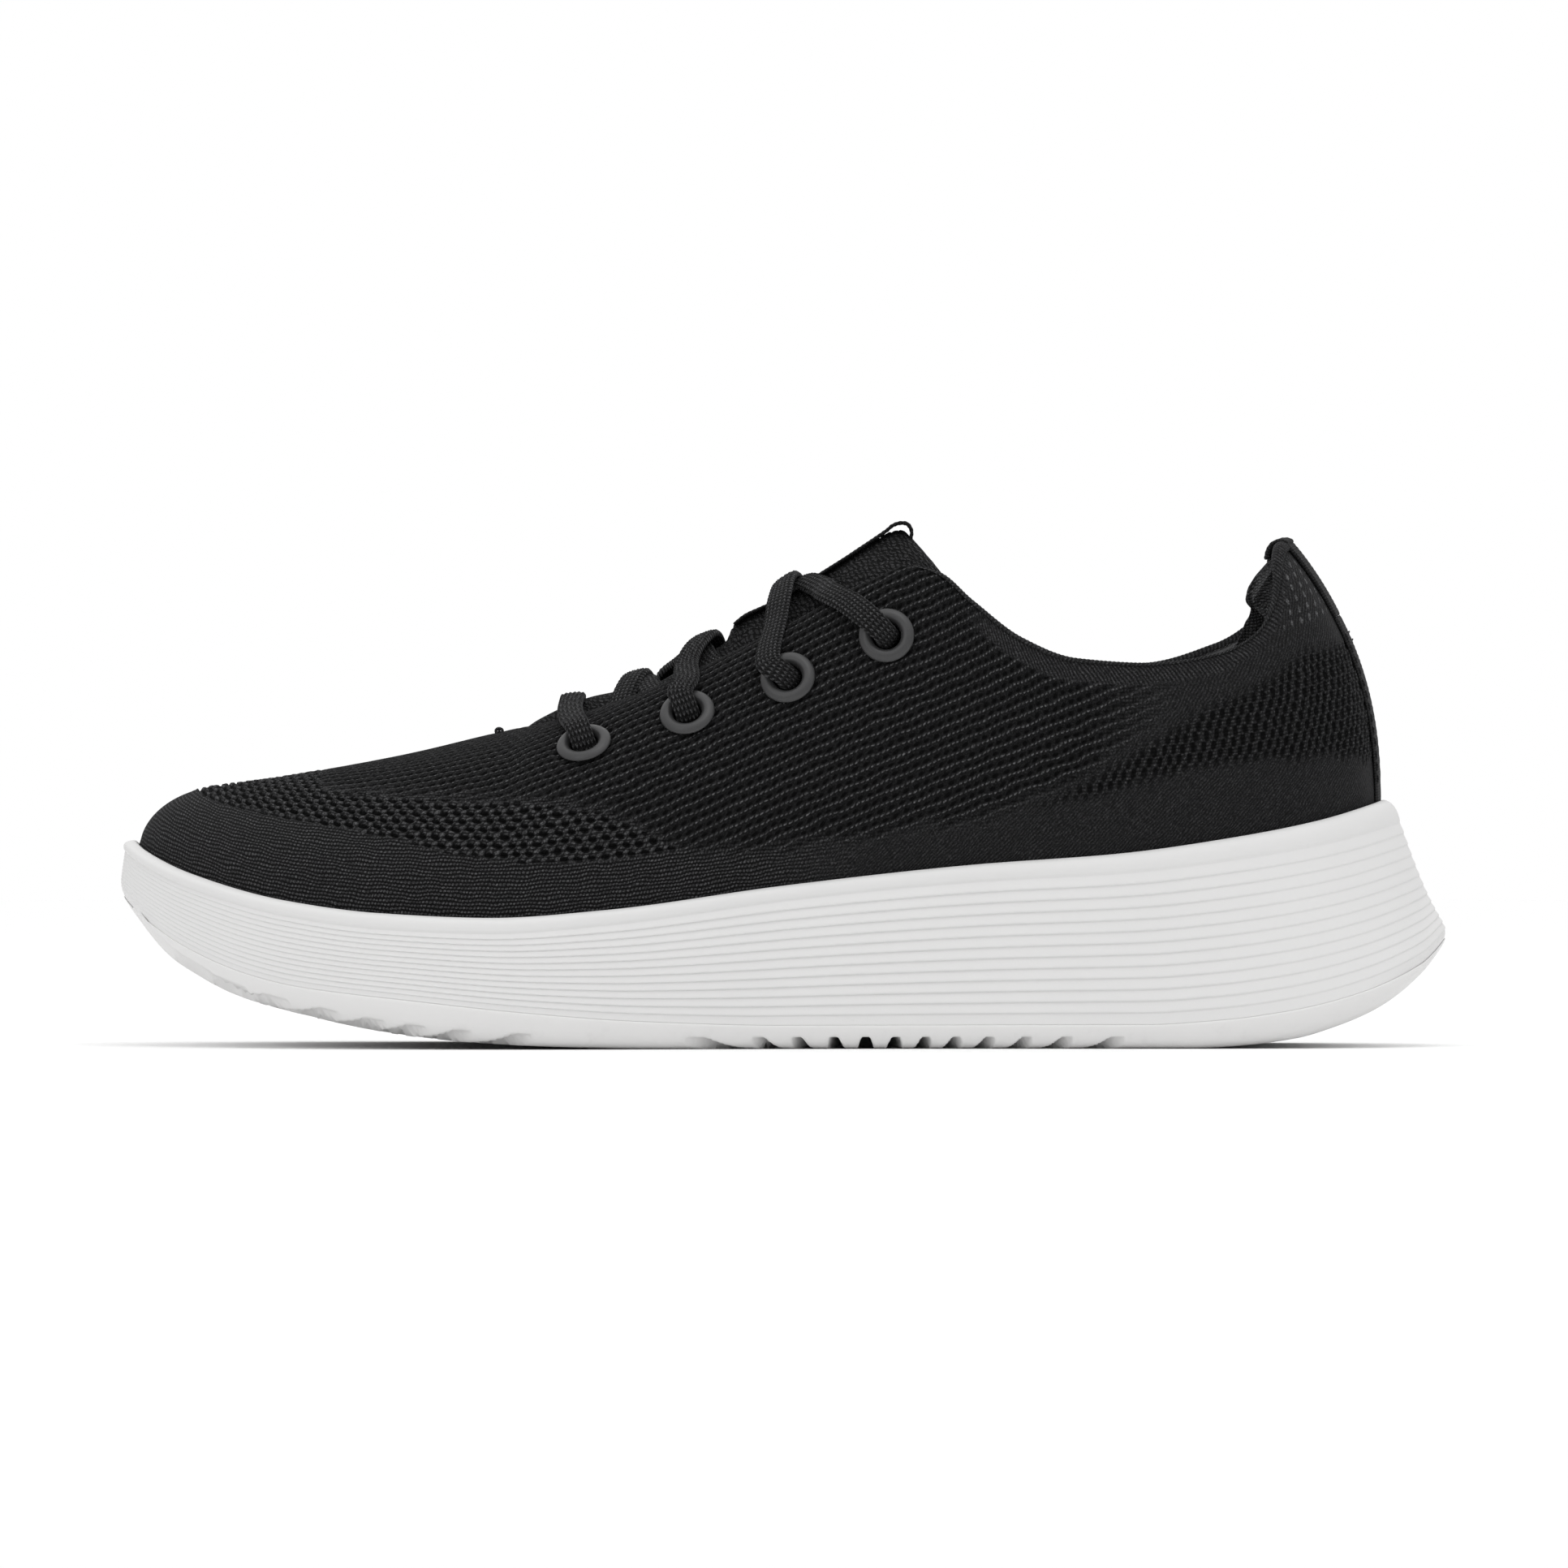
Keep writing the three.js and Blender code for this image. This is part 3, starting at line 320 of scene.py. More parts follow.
def new_object(name, vertices, faces, smooth=True):
    """A mesh object from reference millimetres. faces are quads; a repeated corner makes a triangle."""
    mesh = bpy.data.meshes.new(name)
    quads = [tuple(dict.fromkeys(f)) for f in np.asarray(faces).tolist()]
    mesh.from_pydata((np.asarray(vertices) * MM).tolist(), [], [f for f in quads if len(f) > 2])
    mesh.polygons.foreach_set("use_smooth", np.full(len(mesh.polygons), smooth))
    mesh.update()
    obj = bpy.data.objects.new(name, mesh)
    bpy.context.scene.collection.objects.link(obj)
    return obj


def weld(vertices, faces, tolerance=1e-3):
    """Vertices that coincide become one. Returns them, the faces, and which old vertex each one was."""
    keys = np.round(np.asarray(vertices) / tolerance).astype(np.int64)
    _, first, index = np.unique(keys, axis=0, return_index=True, return_inverse=True)
    index = index.ravel()
    return np.asarray(vertices)[first], index[np.asarray(faces)], first


def grid_faces(rows, cols, close_rows=False, close_cols=False):
    """Quads of a rows x cols grid of vertices."""
    i = np.arange(rows if close_rows else rows - 1)[:, None]
    j = np.arange(cols if close_cols else cols - 1)[None]
    a = i * cols + j
    b = ((i + 1) % rows) * cols + j
    c = ((i + 1) % rows) * cols + (j + 1) % cols
    d = i * cols + (j + 1) % cols
    return np.stack([a, b, c, d], axis=-1).reshape(-1, 4)


def end_caps(rows, cols, width, seam=0, turn=1):
    """Faces over both ends of a tube of rows x cols vertices, in strips between the two halves of its ring.

    width is the number of vertices across; seam is 1 if both halves have their own vertex at both edges.
    """
    i = np.arange(width - 1)
    strip = np.stack([i, i + 1, (cols - seam - i - 1) % cols, (cols - seam - i) % cols], axis=1)
    return [strip[:, ::turn], strip[:, ::-turn] + (rows - 1) * cols]


def set_vector(obj, name, values):
    """A vector attribute on the vertices, for the materials to read."""
    attribute = obj.data.attributes.new(name, "FLOAT_VECTOR", "POINT")
    attribute.data.foreach_set("vector", np.asarray(values, np.float32).ravel())


def set_cloth(obj, along, across):
    """The attribute that says where each vertex is on the cloth, in reference millimetres."""
    set_vector(obj, "cloth", np.stack(np.broadcast_arrays(along, across, 0.0), axis=-1))


def finish_piece(obj, material, body, nodes=()):
    """Gives a piece its material, hides the frame nodes it stands for, and parents it to its body; given two
    bodies, it gets its transform applied and no parent.
    """
    obj.data.materials.append(material)
    if nodes:
        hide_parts(*nodes)
    if isinstance(body, tuple):
        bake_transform(obj)
    else:
        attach(obj, body)
    return obj


def stacked(name, rings, count):
    """Closed solid from rings made by Outline.ring, with both caps as strips across."""
    n = len(rings[0])
    faces = [grid_faces(len(rings), n, close_cols=True)[:, ::-1]] + end_caps(len(rings), n, count, turn=-1)
    return new_object(name, np.vstack(rings), np.vstack(faces))


# ---------------------------------------------------------------- material helper

class Material:
    """A node material: each method adds a node and returns its output socket."""

    def __init__(self, name):
        self.material = bpy.data.materials.new(name)
        self.material.use_nodes = True
        self.tree = self.material.node_tree
        self.bsdf = self.tree.nodes["Principled BSDF"]

    def set(self, **values):
        """Inputs of the surface, as numbers, colours or sockets, with _ for a space in the name."""
        for key, value in values.items():
            socket = self.bsdf.inputs[key.replace("_", " ")]
            if isinstance(value, bpy.types.NodeSocket):
                self.tree.links.new(value, socket)
            else:
                socket.default_value = value
        return self

    def node(self, kind, inputs=None, **settings):
        """A new node with its settings and its inputs, which are values or sockets."""
        node = self.tree.nodes.new(kind)
        for key, value in settings.items():
            setattr(node, key, value)
        for key, value in (inputs or {}).items():
            if isinstance(value, bpy.types.NodeSocket):
                self.tree.links.new(value, node.inputs[key])
            else:
                node.inputs[key].default_value = value
        return node

    def math(self, operation, a, b=0.0, c=0.0):
        return self.node("ShaderNodeMath", {0: a, 1: b, 2: c}, operation=operation).outputs[0]

    def add(self, a, b):
        return self.math("ADD", a, b)

    def mul(self, a, b):
        return self.math("MULTIPLY", a, b)

    def line(self, value, slope, start):
        """value * slope + start."""
        return self.math("MULTIPLY_ADD", value, slope, start)

    def ramp(self, value, low, high, out_low=0.0, out_high=1.0):
        node = self.node("ShaderNodeMapRange", {"Value": value, "From Min": low, "From Max": high,
                                                "To Min": out_low, "To Max": out_high},
                         interpolation_type="SMOOTHSTEP")
        return node.outputs["Result"]

    def vector(self, name):
        """The three numbers of a vertex attribute."""
        node = self.node("ShaderNodeAttribute", attribute_name=name)
        split = self.node("ShaderNodeSeparateXYZ", {0: node.outputs["Vector"]})
        return split.outputs[0], split.outputs[1], split.outputs[2]

    def position(self):
        """Object coordinates in reference millimetres."""
        place = self.node("ShaderNodeTexCoord").outputs["Object"]
        return self.node("ShaderNodeVectorMath", {0: place, "Scale": 1 / MM}, operation="SCALE").outputs[0]

    def noise(self, scale, detail=2.0, rough=0.5):
        """Noise from 0 to 1 with features of about scale millimetres."""
        inputs = {"Vector": self.position(), "Scale": 1 / scale, "Detail": detail, "Roughness": rough}
        return self.node("ShaderNodeTexNoise", inputs).outputs[0]

    def cells(self, a, b, pitch_a, pitch_b, slant=0.0):
        """The place within a brick-laid cell, from -0.5 to 0.5 each way."""
        row = self.mul(b, 1 / pitch_b)
        offset = self.mul(self.math("FLOORED_MODULO", self.math("FLOOR", row), 2.0), 0.5)
        fb = self.add(self.math("FRACT", row), -0.5)
        run = self.add(self.add(self.mul(a, 1 / pitch_a), offset), self.mul(fb, slant))
        return self.add(self.math("FRACT", run), -0.5), fb

    def oval(self, cell, half_a, half_b, soft=0.5):
        """1 inside an oval in a cell and 0 outside, with a soft edge."""
        a, b = cell
        reach = self.add(self.math("POWER", self.math("ABSOLUTE", self.mul(a, 1 / half_a)), 2.0),
                         self.math("POWER", self.math("ABSOLUTE", self.mul(b, 1 / half_b)), 2.0))
        return self.ramp(reach, 1 - soft, 1 + soft, 1.0, 0.0)

    def wave(self, value, pitch):
        """A cosine from 0 to 1."""
        return self.line(self.math("COSINE", self.mul(value, 2 * math.pi / pitch)), 0.5, 0.5)

    def blend(self, share, a, b):
        """a where share is 0, b where it is 1."""
        return self.node("ShaderNodeMix", {0: share, 2: a, 3: b}, data_type="FLOAT").outputs[0]

    def tint(self, value, dark, light):
        """A colour between two, by a number from 0 to 1."""
        node = self.node("ShaderNodeMix", {0: value, 6: (*dark, 1), 7: (*light, 1)}, data_type="RGBA")
        return node.outputs[2]

    def bump(self, height, millimetres, strength=1.0):
        """Bumps from a height, where 1 stands for the given millimetres."""
        inputs = {"Height": height, "Distance": millimetres * MM, "Strength": strength}
        self.set(Normal=self.node("ShaderNodeBump", inputs).outputs[0])
        return self


def grey(value, warm=0.0):
    """A grey, a little red for a positive warm and a little blue for a negative one."""
    return (value * (1 + warm), value, value * (1 - warm))


# ---------------------------------------------------------------- materials

# Pitch along, pitch across, slant of each pattern of cells, in millimetres of cloth.
NET_CELL = (3.05, 2.15, -0.25)
SLOT_CELL = (2.3, 2.36, 0.35)
TALL_CELL = (2.3, 2.35, 0.15)
PLAIN_CELL = (0.82, 0.86, 0.35)
ROW_TILT = 0.3  # how fast the corded rows climb towards the heel, besides following the rim
RIB_PITCH = 0.95  # of the ribbed band round the collar


def fabric(shader, height, depth, light, roughness=0.92, sheen=0.05):
    """Common finish of the dark textiles. light is the reflectance, a number or a socket. For the knit and
    the lace it also holds painted highlights and painted shade.
    """
    fuzz = shader.noise(0.35, 3.0)
    level = shader.mul(shader.ramp(fuzz, 0.4, 0.75, 0.6, 2.6), light)
    shader.set(Base_Color=shader.tint(level, (0, 0, 0), (1, 1, 1.03)), Roughness=roughness, Metallic=0.0)
    shader.set(Sheen_Weight=sheen, Sheen_Roughness=0.5, Sheen_Tint=(0.5, 0.5, 0.52, 1))
    shader.set(Specular_IOR_Level=0.12)
    shader.bump(shader.line(fuzz, 0.12, height), depth)
    return shader.material


def upper_material():
    """The knit. Vertex attributes give the place on the cloth and how strong each stitch pattern is."""
    # Every stitch pattern's colour is painted lighter on its raised stitches, a painted highlight, and darker
    # in its holes and slots, a painted shade.
    s = Material("upper_knit")
    along, across, _ = s.vector("cloth")
    mesh, rows, heel_mesh = s.vector("zone_a")
    twill, dots, rib = s.vector("zone_b")
    # plain stitch: small dashes in rows, painted lighter than the gaps between them as a painted highlight
    plain = s.oval(s.cells(along, across, *PLAIN_CELL), 0.42, 0.3, 0.6)
    # corded rows with a line of slots between: painted highlight on the beads, painted shade in the slots
    tilted = s.line(along, ROW_TILT, across)
    slot_cell = s.cells(along, tilted, *SLOT_CELL)
    slots = s.oval(slot_cell, 0.3, 0.22, 0.6)
    cord = s.ramp(s.math("ABSOLUTE", slot_cell[1]), 0.22, 0.46)
    bead_cell = s.cells(along, s.add(tilted, 0.26), SLOT_CELL[0] / 2, SLOT_CELL[1] / 2, 0.6)
    beads = s.oval(bead_cell, 0.36, 0.3, 0.6)
    row_height = s.line(slots, -0.4, s.mul(beads, 0.45))
    row_painted_light = s.line(s.mul(cord, beads), 4.6, 0.5)
    row_painted_light = s.mul(row_painted_light, s.line(slots, -0.9, 1.0))
    # open mesh on the forefoot: staggered holes in a knotted net, painted highlight on the knots and painted
    # shade in the holes
    holes = s.oval(s.cells(along, across, *NET_CELL), 0.33, 0.36, 0.45)
    knots = s.oval(s.cells(along, across, NET_CELL[0] / 2, NET_CELL[1] / 2, 0.5), 0.4, 0.4, 0.7)
    net_height = s.line(holes, -0.7, s.mul(knots, 0.4))
    net_painted_light = s.mul(s.line(knots, 3.4, 0.45), s.line(holes, -0.97, 1.0))
    # open mesh on the heel: tall pointed holes, painted shade in the holes and painted highlight on the plain
    # dashes
    tall = s.oval(s.cells(along, across, *TALL_CELL), 0.28, 0.58, 0.6)
    tall_height = s.line(tall, -0.4, s.mul(plain, 0.3))
    tall_painted_light = s.mul(s.line(plain, 1.5, 0.65), s.line(tall, -0.92, 1.0))
    diagonal = s.wave(s.add(along, across), 0.95)
    ribs = s.wave(along, RIB_PITCH)
    height = s.mul(plain, 0.4)
    light = s.line(plain, 3.0, 0.25)
    # twill and rib are painted lighter on their ridges as a painted highlight; each share blends in one
    # pattern's painted highlights and painted shade
    for share, new_height, new_painted_light in (
        (twill, s.mul(diagonal, 0.3), s.line(diagonal, 0.9, 0.6)),
        (rows, row_height, row_painted_light),
        (heel_mesh, tall_height, tall_painted_light),
        (mesh, net_height, net_painted_light),
        (rib, s.mul(ribs, 0.3), s.line(ribs, 1.9, 0.5)),
    ):
        height = s.blend(share, height, new_height)
        light = s.blend(share, light, new_painted_light)
    spots = s.mul(s.oval(s.cells(along, across, 3.0, 2.6, 0.5), 0.13, 0.3, 0.4), dots)
    light = s.line(spots, 0.05, s.mul(light, 0.0118))
    return fabric(s, height, 0.5, light)


def tongue_material():
    """Coarse, soft knit with uneven loops."""
    s = Material("tongue_knit")
    along, across, _ = s.vector("cloth")
    wobble = s.noise(2.2, 3.0)
    a = s.line(wobble, 1.6, along)
    b = s.line(s.noise(1.7, 3.0), 1.2, across)
    loops = s.oval(s.cells(a, b, 1.7, 1.15, 0.8), 0.4, 0.36, 0.7)
    light = s.mul(s.line(loops, 2.6, 0.2), 0.0085)
    return fabric(s, loops, 0.45, light)


def lining_material():
    """Brushed lining with a fine rib."""
    s = Material("lining_fabric")
    along, across, _ = s.vector("cloth")
    net = s.oval(s.cells(along, across, 1.3, 0.8, 0.3), 0.4, 0.36, 0.7)
    light = s.mul(s.line(net, 1.6, 0.5), 0.026)
    return fabric(s, s.mul(net, 0.6), 0.3, light, sheen=0.1)


def insole_material():
    """Woven top cloth of the insole, a little worn where the heel and the ball of the foot press."""
    s = Material("insole_cloth")
    x, y, wear = s.vector("cloth")
    weave = s.mul(s.wave(x, 0.9), s.wave(y, 0.9))
    light = s.mul(s.line(weave, 0.5, 0.8), s.line(wear, 0.012, 0.022))
    return fabric(s, weave, 0.2, light, sheen=0.1)


def lace_material():
    """Flat braid: chains of small slanted stitches in ribs along the lace."""
    s = Material("lace_braid")
    along, across, _ = s.vector("cloth")
    rib = s.wave(across, 1.0)
    slant = s.line(s.math("ABSOLUTE", s.add(s.math("FRACT", across), -0.5)), 1.5, along)
    stitch = s.wave(slant, 1.15)
    height = s.line(stitch, 0.5, s.mul(rib, 0.5))
    # the stitches on the crests of the ribs are painted lighter, a painted highlight, and the grooves between
    # them darker, a painted shade
    light = s.mul(s.line(s.mul(stitch, rib), 4.5, 0.12), 0.0125)
    return fabric(s, height, 0.3, light, roughness=0.8)


def tape_material():
    """Narrow woven tape with a fine cross rib."""
    s = Material("woven_tape")
    along, across, _ = s.vector("cloth")
    weft = s.wave(along, 0.62)
    warp = s.wave(across, 0.85)
    height = s.line(warp, 0.4, s.mul(weft, 0.6))
    light = s.mul(s.line(weft, 0.8, 0.5), 0.0095)
    return fabric(s, height, 0.18, light, roughness=0.75)


def thread_material():
    """Twisted sewing thread."""
    s = Material("sewing_thread")
    twist = s.noise(0.3, 2.0)
    return fabric(s, twist, 0.12, s.line(twist, 0.02, 0.014), roughness=0.6)


def moulded_material(name, level, roughness, warm, grain):
    """Off-white moulded foam or rubber: a fine grain, faint shade changes and soft patchy darkening low down.
    """
    s = Material(name)
    position = s.position()
    cloud = s.noise(38, 3.0)
    fine = s.noise(grain, 3.0)
    split = s.node("ShaderNodeSeparateXYZ", {0: position})
    low = s.ramp(split.outputs[2], 1.0, 9.0, 1.0, 0.0)
    # patches of darker colour, strongest below about 1 mm and gone above about 9 mm
    low_patches = s.mul(s.ramp(s.noise(6, 4.0, 0.7), 0.52, 0.75), low)
    shade = s.line(cloud, 0.035, level - 0.017)
    shade = s.line(low_patches, -0.05, shade)
    s.set(Base_Color=s.tint(shade, (0, 0, 0), grey(1.0, warm)))
    s.set(Roughness=s.line(fine, 0.15, roughness - 0.07), Specular_IOR_Level=0.4)
    s.bump(fine, 0.05, 0.6)
    return s.material


def metal_material():
    """Satin dark grey eyelets: painted metal with faint turning marks."""
    s = Material("eyelet_metal")
    fine = s.noise(0.25, 3.0)
    s.set(Base_Color=s.tint(s.line(fine, 0.02, 0.036), (0, 0, 0), (1, 1, 1.02)))
    s.set(Metallic=0.35, Roughness=s.line(fine, 0.12, 0.36), Specular_IOR_Level=0.5)
    s.bump(fine, 0.02, 0.5)
    return s.material


def plain_material(name, level, roughness, grain, depth, warm=0.0):
    """A hidden layer: an even colour with a grain."""
    s = Material(name)
    fine = s.noise(grain, 3.0)
    shade = s.line(fine, 0.25 * level, 0.87 * level)
    s.set(Base_Color=s.tint(shade, (0, 0, 0), grey(1.0, warm)), Roughness=roughness)
    s.bump(fine, depth)
    return s.material


UPPER = upper_material()
TONGUE_CLOTH = tongue_material()
LINING = lining_material()
INSOLE_CLOTH = insole_material()
BRAID = lace_material()
TAPE = tape_material()
THREAD = thread_material()
FOAM_WHITE = moulded_material("midsole_foam", 0.705, 0.52, 0.004, 0.5)
RUBBER_WHITE = moulded_material("outsole_rubber", 0.73, 0.45, 0.006, 0.35)
METAL = metal_material()
BOARD = plain_material("strobel_board", 0.6, 0.95, 0.8, 0.1, 0.03)
STIFFENER = plain_material("stiffener", 0.3, 0.8, 0.6, 0.06)
AGLET = plain_material("aglet_plastic", 0.012, 0.25, 2.0, 0.01)
BACKING = plain_material("eyestay_backing", 0.02, 0.7, 0.6, 0.05)


# ---------------------------------------------------------------- sole unit

SOLE_COLUMNS = 330  # stations down each side of the midsole
RIBS = 13
LIP_HEIGHT = curve([(-150, 2.4), (-80, 3.4), (0, 3.2), (80, 4.2), (140, 5.0)])
RIB_DEPTH = curve([(-150, 0.08), (-135, 0.17), (-110, 0.25), (-40, 0.32), (40, 0.38), (90, 0.32), (120, 0.2),
                   (150, 0.2)])
# One rib from its lower edge to its upper edge: (share of its height, share of its depth).
RIB_PROFILE = [(0, 0), (0.03, 0.5), (0.08, 0.92), (0.16, 1), (0.32, 0.86), (0.52, 0.56), (0.72, 0.26),
               (0.9, 0.04)]
# The lip from its lower edge to its top: (share of its height below its top, how far out).
LIP_PROFILE = [(1, 0), (0.93, 0.2), (0.8, 0.38), (0.6, 0.5), (0.42, 0.5), (0.27, 0.38), (0.15, 0.12),
               (0.07, -0.2), (0.02, -0.6)]


def sole_stations(count):
    """Stations for rings of the sole, evenly spaced round the outline."""
    return even_stations(lambda c: np.stack([FEATHER.x(c), FEATHER.y(-1, c)], axis=1), count)


def rounding(x, above):
    """How far the sole's wall is drawn in near the parting line at the toe and heel, to round its corner."""
    return 1.5 * (ease(128, 149, x) + ease(-138, -149, x)) * np.exp(-np.abs(above) / 1.4)


def midsole():
    """The wall flares down from the rim in thirteen lapped ribs under a smooth rounded lip."""
    cs = sole_stations(SOLE_COLUMNS)
    lip_z = rim_z(Outline(lambda x: rim_inset(x) + LIP / 2).ring(cs, rim_z)[:, 0])
    rings = []

    def wall(out, height):
        """A ring on the wall. height is the share of the way from the parting line to the rim."""
        above = lambda x: height(x) * (rim_z(x) - parting_z(x))
        shape = Outline(lambda x: rim_inset(x) * height(x) - out(x) + rounding(x, above(x)))
        x = shape.ring(cs, rim_z)[:, 0]
        return shape.ring(cs, mix(parting_z(x), lip_z, height(x)))

    lip_share = lambda x, drop: 1 - drop * LIP_HEIGHT(x) / (rim_z(x) - parting_z(x))
    for rib in range(RIBS):
        for share, out in RIB_PROFILE:
            place = (rib + share) / RIBS
            fade = out * ease(-0.5, 1.5, rib)
            rings.append(wall(lambda x: fade * RIB_DEPTH(x), lambda x: place * lip_share(x, 1)))
    for drop, out in LIP_PROFILE:
        rings.append(wall(lambda x: np.full_like(x, out), lambda x: lip_share(x, drop)))
    inner = FEATHER_GAP + LIP - SNUG
    over_the_rim = (1.0, 0.06), (1.5, 0.1), (inner - 0.25, 0.02), (inner, -0.4), (inner, -1.5), (inner, -5)
    for inset, height in over_the_rim:
        rings.append(Outline(lambda x: rim_inset(x) + inset).ring(cs, lip_z + height))
    rings.append(Outline(lambda x: rim_inset(x) + inner).ring(cs, lambda x: footbed_z(x) + 0.1))
    obj = stacked("midsole", rings, len(cs))
    return finish_piece(obj, FOAM_WHITE, ("shoe", "forefoot"),
                        ("midsole_forefoot", "midsole_heel"))


# Tread grooves, alike on both sides: x where it opens in the side wall, degrees off straight across.
GROOVES = [(-136, -35), (-129, -38), (-121.5, -40), (-112, -42), (-100.3, -45), (-89.5, -50), (-80.2, -54),
           (-70.1, -57), (-56.7, -64), (-19.8, 58), (-5.7, 38), (2.9, 24), (11.1, 10), (18.2, 0), (24.9, -8),
           (31.6, -16), (38.4, -24), (45.8, -31), (54, -38), (63, -45), (74.2, -54)]
GROOVE_WIDTH, GROOVE_HEIGHT, GROOVE_LENGTH = 2.9, 2.7, 24
EDGE = Outline(lambda x: np.full_like(x, 0.5))


def groove_mask(x, y):
    """1 in the middle of a tread groove and 0 on a lug."""
    mask = np.zeros_like(x)
    for side in (-1, 1):
        station, edge_y = EDGE.sides[side]
        for head_x, lean in GROOVES:
            head_y = np.interp(head_x, EDGE.x(station)[::-1], edge_y[::-1])
            angle = math.radians(lean)
            inwards = np.array([math.sin(angle), -side * math.cos(angle)])
            ahead = (x - head_x) * inwards[0] + (y - head_y) * inwards[1]
            across = np.abs((x - head_x) * inwards[1] - (y - head_y) * inwards[0])
            bar = ease(GROOVE_WIDTH / 2 + 0.3, GROOVE_WIDTH / 2 - 0.7, across)
            reach = ease(-4, -1, ahead) * ease(GROOVE_LENGTH, GROOVE_LENGTH - 6, ahead)
            mask = np.maximum(mask, np.where(y * side > 2, bar * reach, 0))
    return mask


def cut_tread(points):
    """Raises whatever lies inside a groove to the groove's rounded roof."""
    x, y, z = points.T
    mask = groove_mask(x, y)
    roof = ground_z(x) + GROOVE_HEIGHT * np.sqrt(mask)
    return np.stack([x, y, np.where(mask > 0.01, np.maximum(z, roof), z)], axis=1)


# The outsole's side from its lower edge to its upper edge: (share of its height, inset).
BAND_PROFILE = [(0.02, 3.7), (0.06, 2.9), (0.11, 2.3), (0.17, 1.75), (0.24, 1.3), (0.32, 0.9), (0.42, 0.55),
                (0.52, 0.3), (0.62, 0.1), (0.74, -0.08), (0.86, -0.2), (0.94, -0.24), (0.985, -0.12),
                (1.0, 0.15)]
BAND_EDGE = 4.6  # inset of the tread's edge
TREAD_COLUMNS, TREAD_ROWS = 900, 56  # vertices along the tread, and strips across it


def outsole():
    """A smooth band under the parting line, rounded into a tread with grooves that open in the side."""
    cs = sole_stations(TREAD_COLUMNS)
    tread_edge = Outline(lambda x: np.full_like(x, BAND_EDGE))
    rings = [cut_tread(tread_edge.ring(cs, ground_z))]
    for share, inset in BAND_PROFILE:
        height = lambda x: mix(ground_z(x), parting_z(x), share)
        shape = Outline(lambda x: inset + rounding(x, height(x) - parting_z(x)))
        rings.append(cut_tread(shape.ring(cs, height)))
    rings.append(Outline(lambda x: 1.0 + rounding(x, 0 * x)).ring(cs, lambda x: parting_z(x) + 0.02))
    n = len(rings[0])
    share = np.linspace(0, 1, TREAD_ROWS + 1)[1:-1, None]
    x = np.broadcast_to(tread_edge.x(cs)[None], (TREAD_ROWS - 1, len(cs)))
    y = mix(tread_edge.y(1, cs)[None], tread_edge.y(-1, cs)[None], share)
    sole = cut_tread(np.stack([x, y, ground_z(x)], axis=-1).reshape(-1, 3))
    vertices = np.vstack(rings + [sole])
    faces = [grid_faces(len(rings), n, close_cols=True)[:, ::-1]]
    faces.append(end_caps(len(rings), n, len(cs), turn=-1)[1])
    column = np.arange(len(cs))
    start = len(rings) * n
    rows = [column] + [start + k * len(cs) + column for k in range(TREAD_ROWS - 1)] + [(n - column) % n]
    for upper, lower in zip(rows, rows[1:]):
        faces.append(np.stack([upper[:-1], lower[:-1], lower[1:], upper[1:]], axis=1))
    vertices, faces, _ = weld(vertices, np.vstack(faces))
    obj = new_object("outsole", vertices, faces)
    return finish_piece(obj, RUBBER_WHITE, ("shoe", "forefoot"),
                        ("outsole_forefoot", "outsole_heel"))


INSOLE_COLUMNS = 160
INSOLE_GAP = 2.9  # between the insole's edge and the rim's inner face


def insole():
    """The removable insole: a cloth-topped foam sheet with a raised edge round the heel and the arch."""
    cs = sole_stations(INSOLE_COLUMNS)
    edge = Outline(lambda x: rim_inset(x) + LIP + FEATHER_GAP + INSOLE_GAP)
    across = 40
    q = np.linspace(-1, 1, across + 1)[None]
    x = np.broadcast_to(edge.x(cs)[:, None], (len(cs), across + 1))
    middle = (edge.y(1, cs) + edge.y(-1, cs))[:, None] / 2
    half = (edge.y(1, cs) - edge.y(-1, cs))[:, None] / 2
    y = middle + q * half
    cup = ease(0.55, 1, np.abs(q)) * (1.2 + 3.0 * ease(20, 80, x)) + 2.0 * ease(118, 131, x) * (np.abs(q) < 2)
    arch = 3.0 * ease(0.2, 1, q) * ease(-40, 10, x) * ease(80, 40, x)
    top = footbed_z(x) + 6.1 + cup + arch
    bottom = footbed_z(x) + 2.0 + 0.2 * cup
    wear = np.exp(-((x - 95) / 24) ** 2 - (y / 20) ** 2) + np.exp(-((x + 62) / 30) ** 2 - (y / 30) ** 2)
    upper = np.stack([x, y, top], axis=-1)
    lower = np.stack([x, y, bottom], axis=-1)
    loop = np.concatenate([upper, lower[:, ::-1]], axis=1)
    rows, cols = loop.shape[:2]
    faces = [grid_faces(rows, cols, close_cols=True)[:, ::-1]] + end_caps(rows, cols, across + 1, seam=1)
    obj = new_object("insole", loop.reshape(-1, 3), np.vstack(faces))
    both = np.concatenate([wear, wear[:, ::-1]], axis=1)
    set_vector(obj, "cloth", np.stack([loop[..., 0], loop[..., 1], both], axis=-1).reshape(-1, 3))
    nodes = [f"insole_{layer}_{half}" for layer in ("cloth", "foam") for half in ("forefoot", "heel")]
    return finish_piece(obj, INSOLE_CLOTH, ("shoe", "forefoot"), nodes)


# ---------------------------------------------------------------- upper

EYELET_ROWS = 4
EYELET_HOLE, EYELET_FLANGE = 3.2, 6.2
EYELET_MIDDLE = 1.2  # how far the middle of an eyelet's node lies under the face of the knit
SIDES = {-1: "lateral", 1: "medial"}


